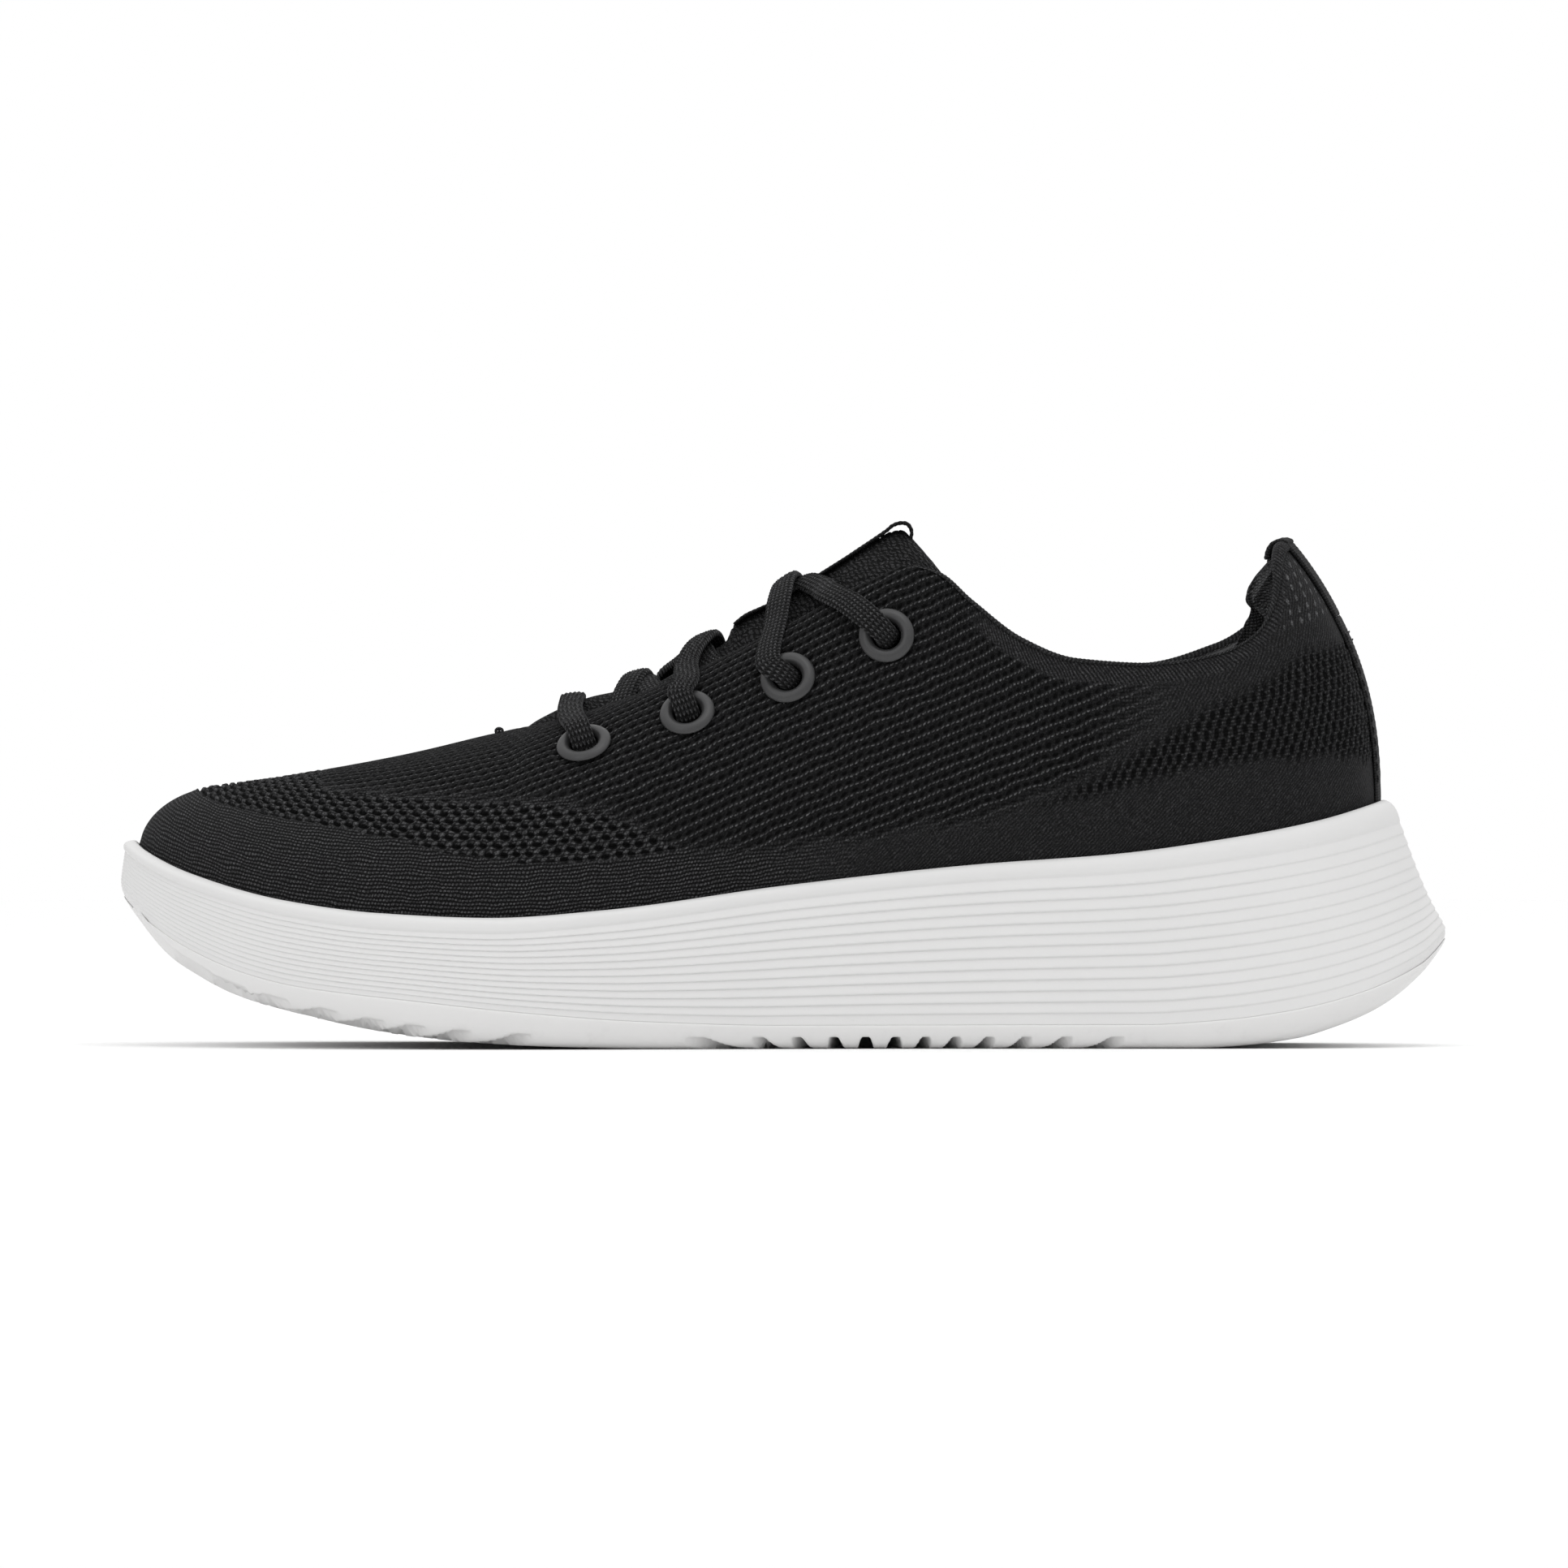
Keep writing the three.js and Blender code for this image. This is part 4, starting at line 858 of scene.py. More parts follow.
def eyelet_spot(side, row):
    """The (w, v) of an eyelet, from the middle of its node in the frame."""
    low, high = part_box(f"eyelet_{SIDES[side]}_{row + 1}")
    middle = np.array((low + high) / 2) / MM
    w, v = upper_spot(middle[0], middle[2], side)
    for _ in range(3):
        face = middle + upper_normal(w, v) * EYELET_MIDDLE
        w, v = upper_spot(face[0], face[2], side)
    return w, v


EYELET_SPOTS = {(side, row): eyelet_spot(side, row) for side in SIDES for row in range(EYELET_ROWS)}


def polygon_mask(x, z, corners, soft):
    """1 inside a polygon in the side view and 0 outside, over a soft edge of the given width."""
    inside = np.zeros(x.shape, bool)
    nearest = np.full(x.shape, 1e9)
    for (x0, z0), (x1, z1) in zip(corners, corners[1:] + corners[:1]):
        dx, dz = x1 - x0, z1 - z0
        if dz:
            inside ^= ((z0 > z) != (z1 > z)) & (x < dx * (z - z0) / dz + x0)
        t = np.clip(((x - x0) * dx + (z - z0) * dz) / (dx * dx + dz * dz), 0, 1)
        nearest = np.minimum(nearest, np.hypot(x - x0 - t * dx, z - z0 - t * dz))
    return ease(-soft, soft, np.where(inside, nearest, -nearest))


def even_rows(ws, count, low=0.0, high=1.0):
    """For each w, count + 1 values of v from low to high, evenly spaced up the upper."""
    v = low + (high - low) * np.linspace(0, 1, 400) ** 1.5
    run = run_along(upper_point(ws[:, None], v[None]), axis=1)
    share = np.linspace(0, 1, count + 1)
    return np.array([np.interp(share * line[-1], line, v) for line in run])


# Corners in the side view of the zones of open knit, and the lower limit of the corded rows.
FOREFOOT_MESH = [(-140, 61), (-121.9, 68), (-105, 68), (-103.6, 57.4), (-81.6, 55.6), (-57.9, 54.8),
                 (-41.4, 52.7), (-32.3, 49), (-23.1, 44.4), (-37.8, 42), (-57.9, 41.3), (-74.3, 43.5),
                 (-88.9, 47.2), (-103.6, 49.9), (-118.2, 52.7), (-129.2, 55.4)]
HEEL_MESH = [(56, 53), (79.3, 59), (93.9, 62.6), (108.5, 64.4), (140, 64.4), (144, 71), (142, 82), (134, 92),
             (115.8, 88.5), (108.5, 82), (97.5, 77.4), (88.4, 72), (79.3, 66.4), (66.4, 59)]
HEEL_DOTS = [(112, 107.5), (116.5, 111), (122, 102), (122, 97), (112, 93.5)]
ROWS_FLOOR = curve([(-140, 62), (-104, 57), (-81, 55.4), (-50, 54), (-36, 50), (-20, 43.5), (0, 44), (20, 47),
                    (45, 51), (60, 57), (75, 66), (95, 80), (140, 120)])
REFERENCE_STATION = 0.55  # where lengths along the cloth start


def cloth_coordinates(cs, sides):
    """Lengths along the cloth and up it over a grid of stations and rows, averaged over the two sides."""
    along = 0
    up = 0
    for points in sides:
        run = run_along(points)
        start = np.array([np.interp(REFERENCE_STATION, cs, line) for line in run.T])
        along = along + (run - start) / 2
        up = up + run_along(points, axis=1) / 2
    return along, up


def soft_noise(points, size, seed):
    """Smooth noise of about -1 to 1: a few plane waves of about the given size in seeded directions."""
    rng = np.random.default_rng(seed)
    total = 0
    for _ in range(7):
        direction = rng.normal(size=points.shape[-1])
        direction *= 2 * np.pi / size / np.linalg.norm(direction) * rng.uniform(0.6, 1.3)
        total = total + np.sin(points @ direction + rng.uniform(0, 2 * np.pi))
    return total / 4


def cell(a, b, pitch_a, pitch_b, slant=0.0):
    """The place within a brick-laid cell, from -0.5 to 0.5 each way. Material.cells has the same layout."""
    row = b / pitch_b
    fb = row - np.floor(row) - 0.5
    run = a / pitch_a + np.floor(row) % 2 * 0.5 + fb * slant
    return run - np.floor(run) - 0.5, fb


def oval(place, half_a, half_b, soft=0.5):
    """1 inside an oval in a cell and 0 outside, as Material.oval."""
    reach = (place[0] / half_a) ** 2 + (place[1] / half_b) ** 2
    return ease(1 + soft, 1 - soft, reach)


def knit_relief(along, up, mesh, rows, heel_mesh, rib):
    """Height of the knit's face: the meshes are hollows in a net, the rows are cords with slots between."""
    net = -0.8 * oval(cell(along, up, *NET_CELL), 0.35, 0.37, 0.6) + 0.16
    net = net + 0.14 * oval(cell(along, up, NET_CELL[0] / 2, NET_CELL[1] / 2, 0.5), 0.4, 0.4, 0.7)
    place = cell(along, up + ROW_TILT * along, *SLOT_CELL)
    cord = 0.16 * ease(0.12, 0.42, np.abs(place[1])) - 0.34 * oval(place, 0.32, 0.24, 0.6) - 0.02
    tall = -0.6 * oval(cell(along, up, *TALL_CELL), 0.3, 0.58, 0.6) + 0.12
    ribs = 0.1 * np.cos(2 * np.pi * along / RIB_PITCH)
    return mesh * net + rows * cord + heel_mesh * tall + rib * ribs


BINDING_LEG = 0.8  # how far the collar's binding reaches down the outside
RIB_BAND = 5.0  # how far the ribbed band reaches down from the collar's edge


def knit_zones(points, to_edge, station):
    """How strong each stitch pattern is at each point: (mesh, rows, heel mesh) and (twill, dots, rib)."""
    x, _, z = np.moveaxis(points, -1, 0)
    ragged = 0.8 * soft_noise(points, 5, 3)
    mesh = polygon_mask(x, z + 0.3 * ragged, FOREFOOT_MESH, 0.7)
    heel_mesh = polygon_mask(x + ragged, z + ragged, HEEL_MESH, 2.2)
    dots = polygon_mask(x, z, HEEL_DOTS, 0.6)
    rows = ease(-2, 3.5, z + 1.5 * ragged - ROWS_FLOOR(x)) * ease(-126, -110, x) * ease(92, 66, x)
    rows = rows * (1 - mesh)
    twill = ease(-10, 25, x) * (1 - rows)
    rib = ease(RIB_BAND + 0.6, RIB_BAND - 0.6, to_edge)
    rib = rib * ease(0.405, 0.375, station) * ease(0.03, 0.16, station)
    rows = rows * (1 - rib)
    return np.stack([mesh, rows, heel_mesh], axis=-1), np.stack([twill, dots, rib], axis=-1)


def press_eyelets(points):
    """The knit dips under each eyelet's flange."""
    for w, v in EYELET_SPOTS.values():
        centre, out = upper_point(w, v), upper_normal(w, v)
        distance = np.linalg.norm(points - centre, axis=-1)
        points = points - out * (0.45 * ease(EYELET_FLANGE + 2.2, EYELET_FLANGE - 0.4, distance))[..., None]
    return points


def in_eyelet_hole(points):
    """Whether each point lies where the shell is opened for an eyelet's barrel."""
    inside = np.zeros(points.shape[:-1], bool)
    for w, v in EYELET_SPOTS.values():
        out = upper_normal(w, v)
        off = points - upper_point(w, v)
        depth = off @ out
        radius = np.linalg.norm(off - depth[..., None] * out, axis=-1)
        inside |= (radius < EYELET_HOLE + 0.8) & (np.abs(depth) < 4)
    return inside


UPPER_ROWS = 150
BELOW_RIM = (-0.5, -0.12)  # the v of the rows of the upper that go down inside the sole


def upper_side(side, cs, rows, along, up):
    """One side of the upper: its outer face with the knit's relief, its inner face, and its attributes."""
    w = side * cs
    v = np.concatenate([np.broadcast_to(BELOW_RIM, (len(cs), len(BELOW_RIM))), rows], axis=1)
    points = upper_point(w[:, None], v)
    normal = upper_normal(w[:, None], v)
    a = np.concatenate([along[:, :1]] * len(BELOW_RIM) + [along], axis=1)
    b = np.concatenate([up[:, :1] - 4, up[:, :1] - 1, up], axis=1)
    wobble = np.stack([a, b], axis=-1)
    a = a + 0.35 * soft_noise(wobble, 9, 1) + 0.12 * soft_noise(wobble, 3, 5)
    b = b + 0.25 * soft_noise(wobble, 7, 2) + 0.1 * soft_noise(wobble, 2.5, 6)
    to_edge = up[:, -1:] - b
    zone_a, zone_b = knit_zones(points, to_edge, cs[:, None])
    height = knit_relief(a, b, *np.moveaxis(zone_a, -1, 0), zone_b[..., 2])
    height = height + 0.16 * soft_noise(points, 26, 4) * ease(0, 0.1, v)
    height = height * ease(0, 0.03, v) * ease(1.0, 0.985, v) + SNUG * 0.35 * ease(0.1, -0.05, v)
    inner_v = even_rows(w, 24)[:, ::-1]
    inner_v = np.concatenate([inner_v, np.full((len(cs), 1), BELOW_RIM[0])], axis=1)
    marks = (np.stack([a, b, to_edge], axis=-1), zone_a, zone_b)
    return press_eyelets(points + normal * height[..., None]), under_upper(w[:, None], inner_v, KNIT), *marks


def knit_upper():
    """One closed shell of knit: outer face, an edge rolled over round the throat and collar, inner face."""
    throat = even_stations(lambda c: upper_point(-c, 0.5), 380, 0, THROAT)
    ridge = even_stations(lambda c: upper_point(-c, 0.5), 210, THROAT, 1)
    cs = np.concatenate([throat, ridge[1:]])
    rows = {side: even_rows(side * cs, UPPER_ROWS) for side in SIDES}
    faces_at = {side: upper_point(side * cs[:, None], rows[side]) for side in SIDES}
    along, up = cloth_coordinates(cs, faces_at.values())
    lateral, medial = (upper_side(side, cs, rows[side], along, up) for side in SIDES)
    # one ring of columns: from the heel up the medial side to the toe and back down the lateral side
    outer, inner, *marks = (np.concatenate([one, other[-2:0:-1]]) for one, other in zip(medial, lateral))
    ws = np.concatenate([cs, -cs[-2:0:-1]])
    edge_normal = upper_normal(ws, np.ones(len(ws)))[:, None]
    edge_up = unit(upper_point(ws, 0.995) - upper_point(ws, 0.985))[:, None]
    turn = np.linspace(0, np.pi, 7)[1:-1, None]
    roll = outer[:, -1:] + KNIT / 2 * (edge_up * np.sin(turn) - edge_normal * (1 - np.cos(turn)))
    grid = np.concatenate([outer, roll, inner], axis=1)
    rows, cols = grid.shape[:2]
    faces = grid_faces(rows, cols, close_rows=True, close_cols=True).reshape(rows, cols, 4)
    keep = np.ones((rows, cols), bool)
    closed = np.abs(ws) >= THROAT - 1e-6
    first, last = outer.shape[1] - 1, outer.shape[1] + len(turn)
    keep[closed & np.roll(closed, -1), first:last] = False
    middle = grid.reshape(-1, 3)[faces].mean(axis=2)
    outer_face = np.arange(cols) < first
    opened = in_eyelet_hole(middle)
    keep &= ~(opened & (outer_face | (np.arange(cols) >= last) & (np.arange(cols) < cols - 1)))
    vertices, faces, source = weld(grid.reshape(-1, 3), faces[keep])
    obj = new_object("knit_upper", vertices, faces)

    def spread(values):
        """Values on the outer face, carried over the rolled edge and down the inner face."""
        full = np.zeros((rows, cols, 3))
        full[:, :values.shape[1]] = values
        full[:, values.shape[1]:] = values[:, -1:]
        share = np.linspace(values.shape[1] - 1, 0, inner.shape[1]).astype(int)
        full[:, -inner.shape[1]:] = values[:, share]
        return full.reshape(-1, 3)[source]

    for name, values in zip(("cloth", "zone_a", "zone_b"), marks):
        set_vector(obj, name, spread(values))
    return finish_piece(obj, UPPER, ("shoe", "forefoot"), ("knit_upper",))


# ---------------------------------------------------------------- padded cloth

CLOTH_CELL = 4.0  # size of the cells of the sheets that are simulated
CLOTH_FRAMES = 20


def puffed(points, pinned, outwards, pressure, cap):
    """Offsets of a grid of points when air behind it pushes the cloth out, simulated on a coarser sheet."""
    picks = []
    for axis in (0, 1):
        length = np.linalg.norm(np.diff(points, axis=axis), axis=2).sum(axis=axis).mean()
        count = max(int(length / CLOTH_CELL), 4)
        picks.append(np.linspace(0, points.shape[axis] - 1, count).round().astype(int))
    pick = np.ix_(*picks)
    coarse = points[pick]
    faces = grid_faces(*coarse.shape[:2])
    sheet = new_object("cloth_sheet", coarse.reshape(-1, 3), faces if outwards else faces[:, ::-1])
    group = sheet.vertex_groups.new(name="sewn")
    group.add(np.flatnonzero(pinned[pick]).tolist(), 1.0, "REPLACE")
    cloth = sheet.modifiers.new("cloth", "CLOTH")
    cloth.settings.vertex_group_mass = "sewn"
    cloth.settings.use_pressure = True
    cloth.settings.uniform_pressure_force = pressure
    cloth.settings.effector_weights.gravity = 0
    cloth.point_cache.frame_end = CLOTH_FRAMES
    for step in range(1, CLOTH_FRAMES + 1):
        bpy.context.scene.frame_set(step)
    result = sheet.evaluated_get(bpy.context.evaluated_depsgraph_get()).data
    moved = np.empty(coarse.size)
    result.vertices.foreach_get("co", moved)
    offset = moved.reshape(coarse.shape) / MM - coarse
    bpy.data.objects.remove(sheet)
    bpy.context.scene.frame_set(1)
    length = np.linalg.norm(offset, axis=-1, keepdims=True)
    offset *= cap * np.tanh(length / cap) / np.maximum(length, 1e-9)
    for axis in (0, 1):
        place = np.interp(np.arange(points.shape[axis]), picks[axis], np.arange(len(picks[axis])))
        low = np.minimum(place.astype(int), len(picks[axis]) - 2)
        share = ease(0, 1, place - low).reshape((-1, 1, 1) if axis == 0 else (1, -1, 1))
        offset = mix(np.take(offset, low, axis), np.take(offset, low + 1, axis), share)
    return offset


# ---------------------------------------------------------------- collar

LINER_DEPTH = KNIT + 0.45  # outer face of whatever lies against the inside of the knit
COUNTER = 1.8  # room for the heel counter
LINING_THICK = 0.9
PAD_DEPTH = 10.0  # how far the cushions of the collar stand in
LINING_END = 0.37  # its last station
PRESSURE = 100.0  # of the air that stands for the padding in a simulation


def pad_swell(c, v):
    """0 to 1: how far the padding of the collar stands in, a cushion on each side of the heel."""
    side = ease(0.015, 0.075, c) * ease(0.34, 0.19, c)
    rise = np.clip((v - 0.25) / 0.73, 0, 1)
    return side * np.sin(np.pi * rise ** 2.1) ** 0.7


def collar_lining():
    """Padded lining of the heel and collar: a cushion on each side of the heel, thin below and in front."""
    cs = np.linspace(0, LINING_END, 190)
    ws = np.concatenate([-cs[:0:-1], cs])
    c = np.abs(ws)[:, None]
    inner_v = even_rows(ws, 110, -0.5, 0.995)
    outer_v = even_rows(ws, 14, -0.5, 0.99)[:, ::-1]
    front = ease(LINING_END, LINING_END - 0.012, c)
    behind = ease(0.53, 0.47, outer_v) * ease(0.27, 0.25, c) * ease(0.0, 0.3, front)
    back_depth = LINER_DEPTH + COUNTER * behind
    top = np.sqrt(np.clip((1 - inner_v) / 0.035, 0, 1))
    thin = LINER_DEPTH + COUNTER * ease(0.6, 0.47, inner_v) * ease(0.29, 0.26, c) + LINING_THICK
    swell = PAD_DEPTH * pad_swell(c, inner_v)
    depth = (thin + swell) * (0.45 + 0.55 * top) * mix(0.6, 1, front)
    points = under_upper(ws[:, None], inner_v, depth)
    folds = 0.35 * soft_noise(points, 22, 11) + 0.12 * soft_noise(points, 7, 12)
    points = points - upper_normal(ws[:, None], inner_v) * (folds * pad_swell(c, inner_v))[..., None]
    soft = ease(0.02, 0.25, pad_swell(c, inner_v))
    points = points + puffed(points, soft < 0.02, False, PRESSURE, 2.5) * soft[..., None]
    grid = np.concatenate([points, under_upper(ws[:, None], outer_v, back_depth)], axis=1)
    rows, cols = grid.shape[:2]
    vertices = grid.reshape(-1, 3)
    faces = [grid_faces(rows, cols, close_cols=True)[:, ::-1]]
    faces += end_strips(rows, points.shape[1], outer_v.shape[1])
    obj = new_object("collar_lining", vertices, np.vstack(faces))
    along = run_along(points[:, -20])[:, None]
    set_cloth(obj, along, run_along(grid, axis=1))
    nodes = ("heel_lining", "collar_pad_lateral", "collar_pad_medial")
    return finish_piece(obj, LINING, "shoe", nodes)


def end_strips(rows, front, back):
    """Faces over both ends of a flattened tube. A ring has its front points, then its back in reverse."""
    total = front + back
    share = np.linspace(0, back - 1, front).round().astype(int)
    i = np.arange(front - 1)
    strip = np.stack([i, i + 1, total - 1 - share[i + 1], total - 1 - share[i]], axis=1)
    return [strip, strip[:, ::-1] + (rows - 1) * total]


BINDING_END = 0.435  # its last station
# One leg of the binding's section, from its hem up: (share of its thickness, share of its length down).
BINDING_SIDE = [(0.35, 1), (0.95, 0.85), (1.05, 0.45)]


def collar_binding():
    """A narrow knitted edge folded over the top of the collar."""
    cs = even_stations(lambda c: upper_point(-c, 1.0), 700, 0, BINDING_END)
    ws = np.concatenate([-cs[:0:-1], cs])
    taper = ease(BINDING_END, BINDING_END - 0.015, np.abs(ws))[:, None]
    edge = upper_point(ws, 1.0)[:, None]
    out = upper_normal(ws, np.ones(len(ws)))[:, None]
    up = unit(upper_point(ws, 0.995) - upper_point(ws, 0.985))[:, None]
    heel = ease(0.2, 0.1, np.abs(ws))[:, None]
    run = run_along(edge[:, 0])[:, None]
    thick = (0.3 + 0.5 * heel) * mix(0.4, 1, taper)
    leg = (BINDING_LEG + 1.1 * heel) * mix(0.4, 1, taper)
    ribs = (0.05 + 0.05 * heel) * np.cos(2 * np.pi * run / RIB_PITCH) * taper
    angle = np.linspace(0, np.pi, 11)[None]
    half = KNIT / 2
    section = [(thick * s + ribs, -leg * d) for s, d in BINDING_SIDE]
    outer = half + thick + ribs
    section.append((outer * np.cos(angle) - half, outer * np.sin(angle) * 0.9))
    section += [(-KNIT - thick * s - ribs, -leg * 1.3 * d) for s, d in BINDING_SIDE[::-1]]
    section.append((-half - (half + 0.02) * np.cos(angle), (half + 0.02) * np.sin(angle) * 0.9))
    across, height = (np.concatenate([part[k] + 0 * ribs for part in section], axis=1) for k in (0, 1))
    grid = edge + out * across[..., None] + up * height[..., None]
    rows, cols = grid.shape[:2]
    faces = [grid_faces(rows, cols, close_cols=True)[:, ::-1]]
    faces += end_strips(rows, cols - angle.shape[1], angle.shape[1])
    obj = new_object("collar_binding", grid.reshape(-1, 3), np.vstack(faces))
    set_cloth(obj, run, height)
    zero = np.zeros_like(grid)
    rib = zero.copy()
    rib[..., 2] = 1
    set_vector(obj, "zone_a", zero)
    set_vector(obj, "zone_b", rib)
    return finish_piece(obj, UPPER, "shoe", ("collar_binding",))


# ---------------------------------------------------------------- tapes, threads and metal

TAPE_ACROSS = np.sin(np.linspace(-np.pi / 2, np.pi / 2, 23))  # places across a tape, from edge to edge


def tape_sheet(name, grid, out, thickness, body, nodes):
    """A woven tape with rounded selvedges through a grid of points: rows along it, TAPE_ACROSS across it."""
    q = TAPE_ACROSS
    selvedge = 1 + 0.3 * ease(0.72, 0.9, np.abs(q))
    bulge = thickness / 2 * np.sqrt(np.clip(1 - np.abs(q) ** 8, 0, 1)) * selvedge
    run = run_along(grid[:, len(q) // 2])[:, None]
    end = np.ones((len(grid), 1))
    end[0] = end[-1] = 0.7
    lift = (bulge + 0.04 * np.cos(2 * np.pi * run / 1.1)) * end
    front = grid + out * lift[..., None]
    back = (grid - out * lift[..., None])[:, -2:0:-1]
    loop = np.concatenate([front, back], axis=1)
    rows, cols = loop.shape[:2]
    faces = [grid_faces(rows, cols, close_cols=True)] + end_caps(rows, cols, len(q))
    obj = new_object(name, loop.reshape(-1, 3), np.vstack(faces))
    width = np.linalg.norm(grid[0, -1] - grid[0, 0])
    set_cloth(obj, run, np.concatenate([q, q[-2:0:-1]])[None] * width / 2)
    return finish_piece(obj, TAPE, body, nodes)


def tube(points, radius, sides=8):
    """Vertices and faces of a closed round thread along a line of points, with rounded ends."""
    tangent = unit(np.gradient(points, axis=0))
    side = unit(np.cross(tangent, [0.31, 0.53, 0.79]))
    up = np.cross(tangent, side)
    angle = np.linspace(0, 2 * np.pi, sides, endpoint=False)
    t = np.linspace(0, 1, len(points))
    size = radius * np.sqrt(np.clip(1 - np.abs(2 * t - 1) ** 12, 0.02, 1))
    grid = points[:, None] + size[:, None, None] * (side[:, None] * np.cos(angle)[:, None]
                                                    + up[:, None] * np.sin(angle)[:, None])
    faces = [grid_faces(len(points), sides, close_cols=True)]
    faces += end_caps(len(points), sides, sides // 2, seam=1, turn=-1)
    return grid.reshape(-1, 3), np.vstack(faces)


def threads(name, lines, radius, body, nodes=()):
    """Many threads as one piece."""
    vertices, faces, start = [], [], 0
    for line in lines:
        v, f = tube(line, radius)
        vertices.append(v)
        faces.append(f + start)
        start += len(v)
    obj = new_object(name, np.vstack(vertices), np.vstack(faces))
    return finish_piece(obj, THREAD, body, nodes)


def stitches(line, out, length, gap, lift):
    """Short arched threads along a line of points, as a list of lines. out is the surface normal there."""
    run = run_along(line)
    count = max(1, int(run[-1] / (length + gap)))
    step = run[-1] / count
    share = np.linspace(0, 1, 7)
    made = []
    for k in range(count):
        s = k * step + gap / 2 + share * (step - gap)
        arch = lift * (np.sin(np.pi * share) ** 0.6 - 0.5)
        made.append(columns_at(s, run, line) + columns_at(s, run, out) * arch[:, None])
    return made


HEEL_TAPE_HALF = 0.041  # the heel tape's half width, in w
LOOP_LOW = 0.47  # v of the seam between the tape and the loop
STITCH_LIFT = 0.98  # of the stitches' lines over the knit


def heel_grid(v, offset):
    """Points on the back of the heel across the tape, raised by an offset, and the outward directions."""
    w = (TAPE_ACROSS * HEEL_TAPE_HALF)[None]
    out = upper_normal(w, v[:, None])
    return upper_point(w, v[:, None]) + out * offset[:, None, None], out


def heel_tapes():
    """The tape down the back of the heel, and the loop above it that turns over the top of the collar."""
    grid, out = heel_grid(np.linspace(-0.02, LOOP_LOW, 70), np.full(70, 0.45))
    tape_sheet("heel_strip", grid, out, 0.9, "shoe", ("heel_strip",))
    v = np.linspace(LOOP_LOW + 0.0025, 0.985, 60)
    slack = 0.5 + 0.2 * np.sin(np.pi * (v - LOOP_LOW) / (1 - LOOP_LOW))
    back, _ = heel_grid(v, slack)
    edge = upper_point(TAPE_ACROSS * HEEL_TAPE_HALF, 1.0)
    over = [edge + (x, 0, z) for x, z in ((0.7, 0.6), (-0.7, 0.95), (-2.1, 0.5), (-3.1, -0.9), (-3.6, -3.0))]
    knots = np.concatenate([back[::6], np.array(over)])
    grid = np.stack([spline(knots[:, k], 8) for k in range(knots.shape[1])], axis=1)
    along = unit(np.gradient(grid, axis=0))
    across = unit(np.gradient(grid, axis=1))
    tape_sheet("heel_pull_loop", grid, np.cross(across, along), 1.0, "heel_loop", ("heel_pull_loop",))
    rows = []
    for v_row in (LOOP_LOW - 0.085, LOOP_LOW - 0.06):
        line, normal = heel_grid(np.array([v_row]), np.array([STITCH_LIFT]))
        rows += stitches(line[0, 2:-2], normal[0, 2:-2], 1.5, 0.5, 0.22)
    for k in (3, -4):
        line, normal = heel_grid(np.linspace(0.03, LOOP_LOW - 0.05, 80), np.full(80, STITCH_LIFT))
        rows += stitches(line[:, k], normal[:, k], 2.0, 0.6, 0.22)
    threads("heel_stitching", rows, 0.2, "shoe")


def bar_tack():
    """Close turns of thread that hold the base of the throat."""
    low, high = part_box("throat_bar_tack")
    centre = np.array((low + high) / 2) / MM
    centre[2] = upper_point(THROAT, 1.0)[2] + 0.15
    half = (high.y - low.y) / 2 / MM
    turns, steps = 11, 14
    t = np.linspace(0, 1, turns * steps)
    angle = t * turns * 2 * np.pi
    y = mix(-half + 0.3, half - 0.3, t)
    line = centre + np.stack([0.75 * np.cos(angle), y, 0.6 * np.sin(angle) - 0.1], axis=1)
    core = centre + np.stack([0 * y, y, 0 * y - 0.1], axis=1)
    threads("throat_bar_tack", [line, core], 0.32, "shoe", ("throat_bar_tack",))


# Radius and height above the knit of an eyelet's section, from inside the barrel over the flange and back.
EYELET_PROFILE = [(3.2, -3.7), (3.2, -1.0), (3.24, -0.1), (3.45, 0.55), (3.9, 1.02), (4.5, 1.2), (5.1, 1.13),
                  (5.65, 0.86), (6.08, 0.5), (6.22, 0.2), (6.12, -0.02), (5.7, -0.04), (4.6, 0.05),
                  (3.85, -0.2), (3.72, -1.0), (3.72, -3.7)]


def eyelet(side, row):
    """A flanged metal ring through the knit."""
    w, v = EYELET_SPOTS[side, row]
    centre, out = upper_point(w, v), upper_normal(w, v)
    across = unit(np.cross(out, [0.0, 0.0, 1.0]))
    up = np.cross(across, out)
    profile = spline([(r, h, 0) for r, h in EYELET_PROFILE], 5)[:, :2]
    angle = np.linspace(0, 2 * np.pi, 72, endpoint=False)[:, None]
    r, h = profile.T
    grid = (centre + (across * np.cos(angle)[..., None] + up * np.sin(angle)[..., None]) * r[:, None]
            + out * h[:, None])
    faces = grid_faces(*grid.shape[:2], close_rows=True, close_cols=True)
    name = f"eyelet_{SIDES[side]}_{row + 1}"
    obj = new_object(name, grid.reshape(-1, 3), faces)
    return finish_piece(obj, METAL, "shoe", (name,))


# ---------------------------------------------------------------- tongue

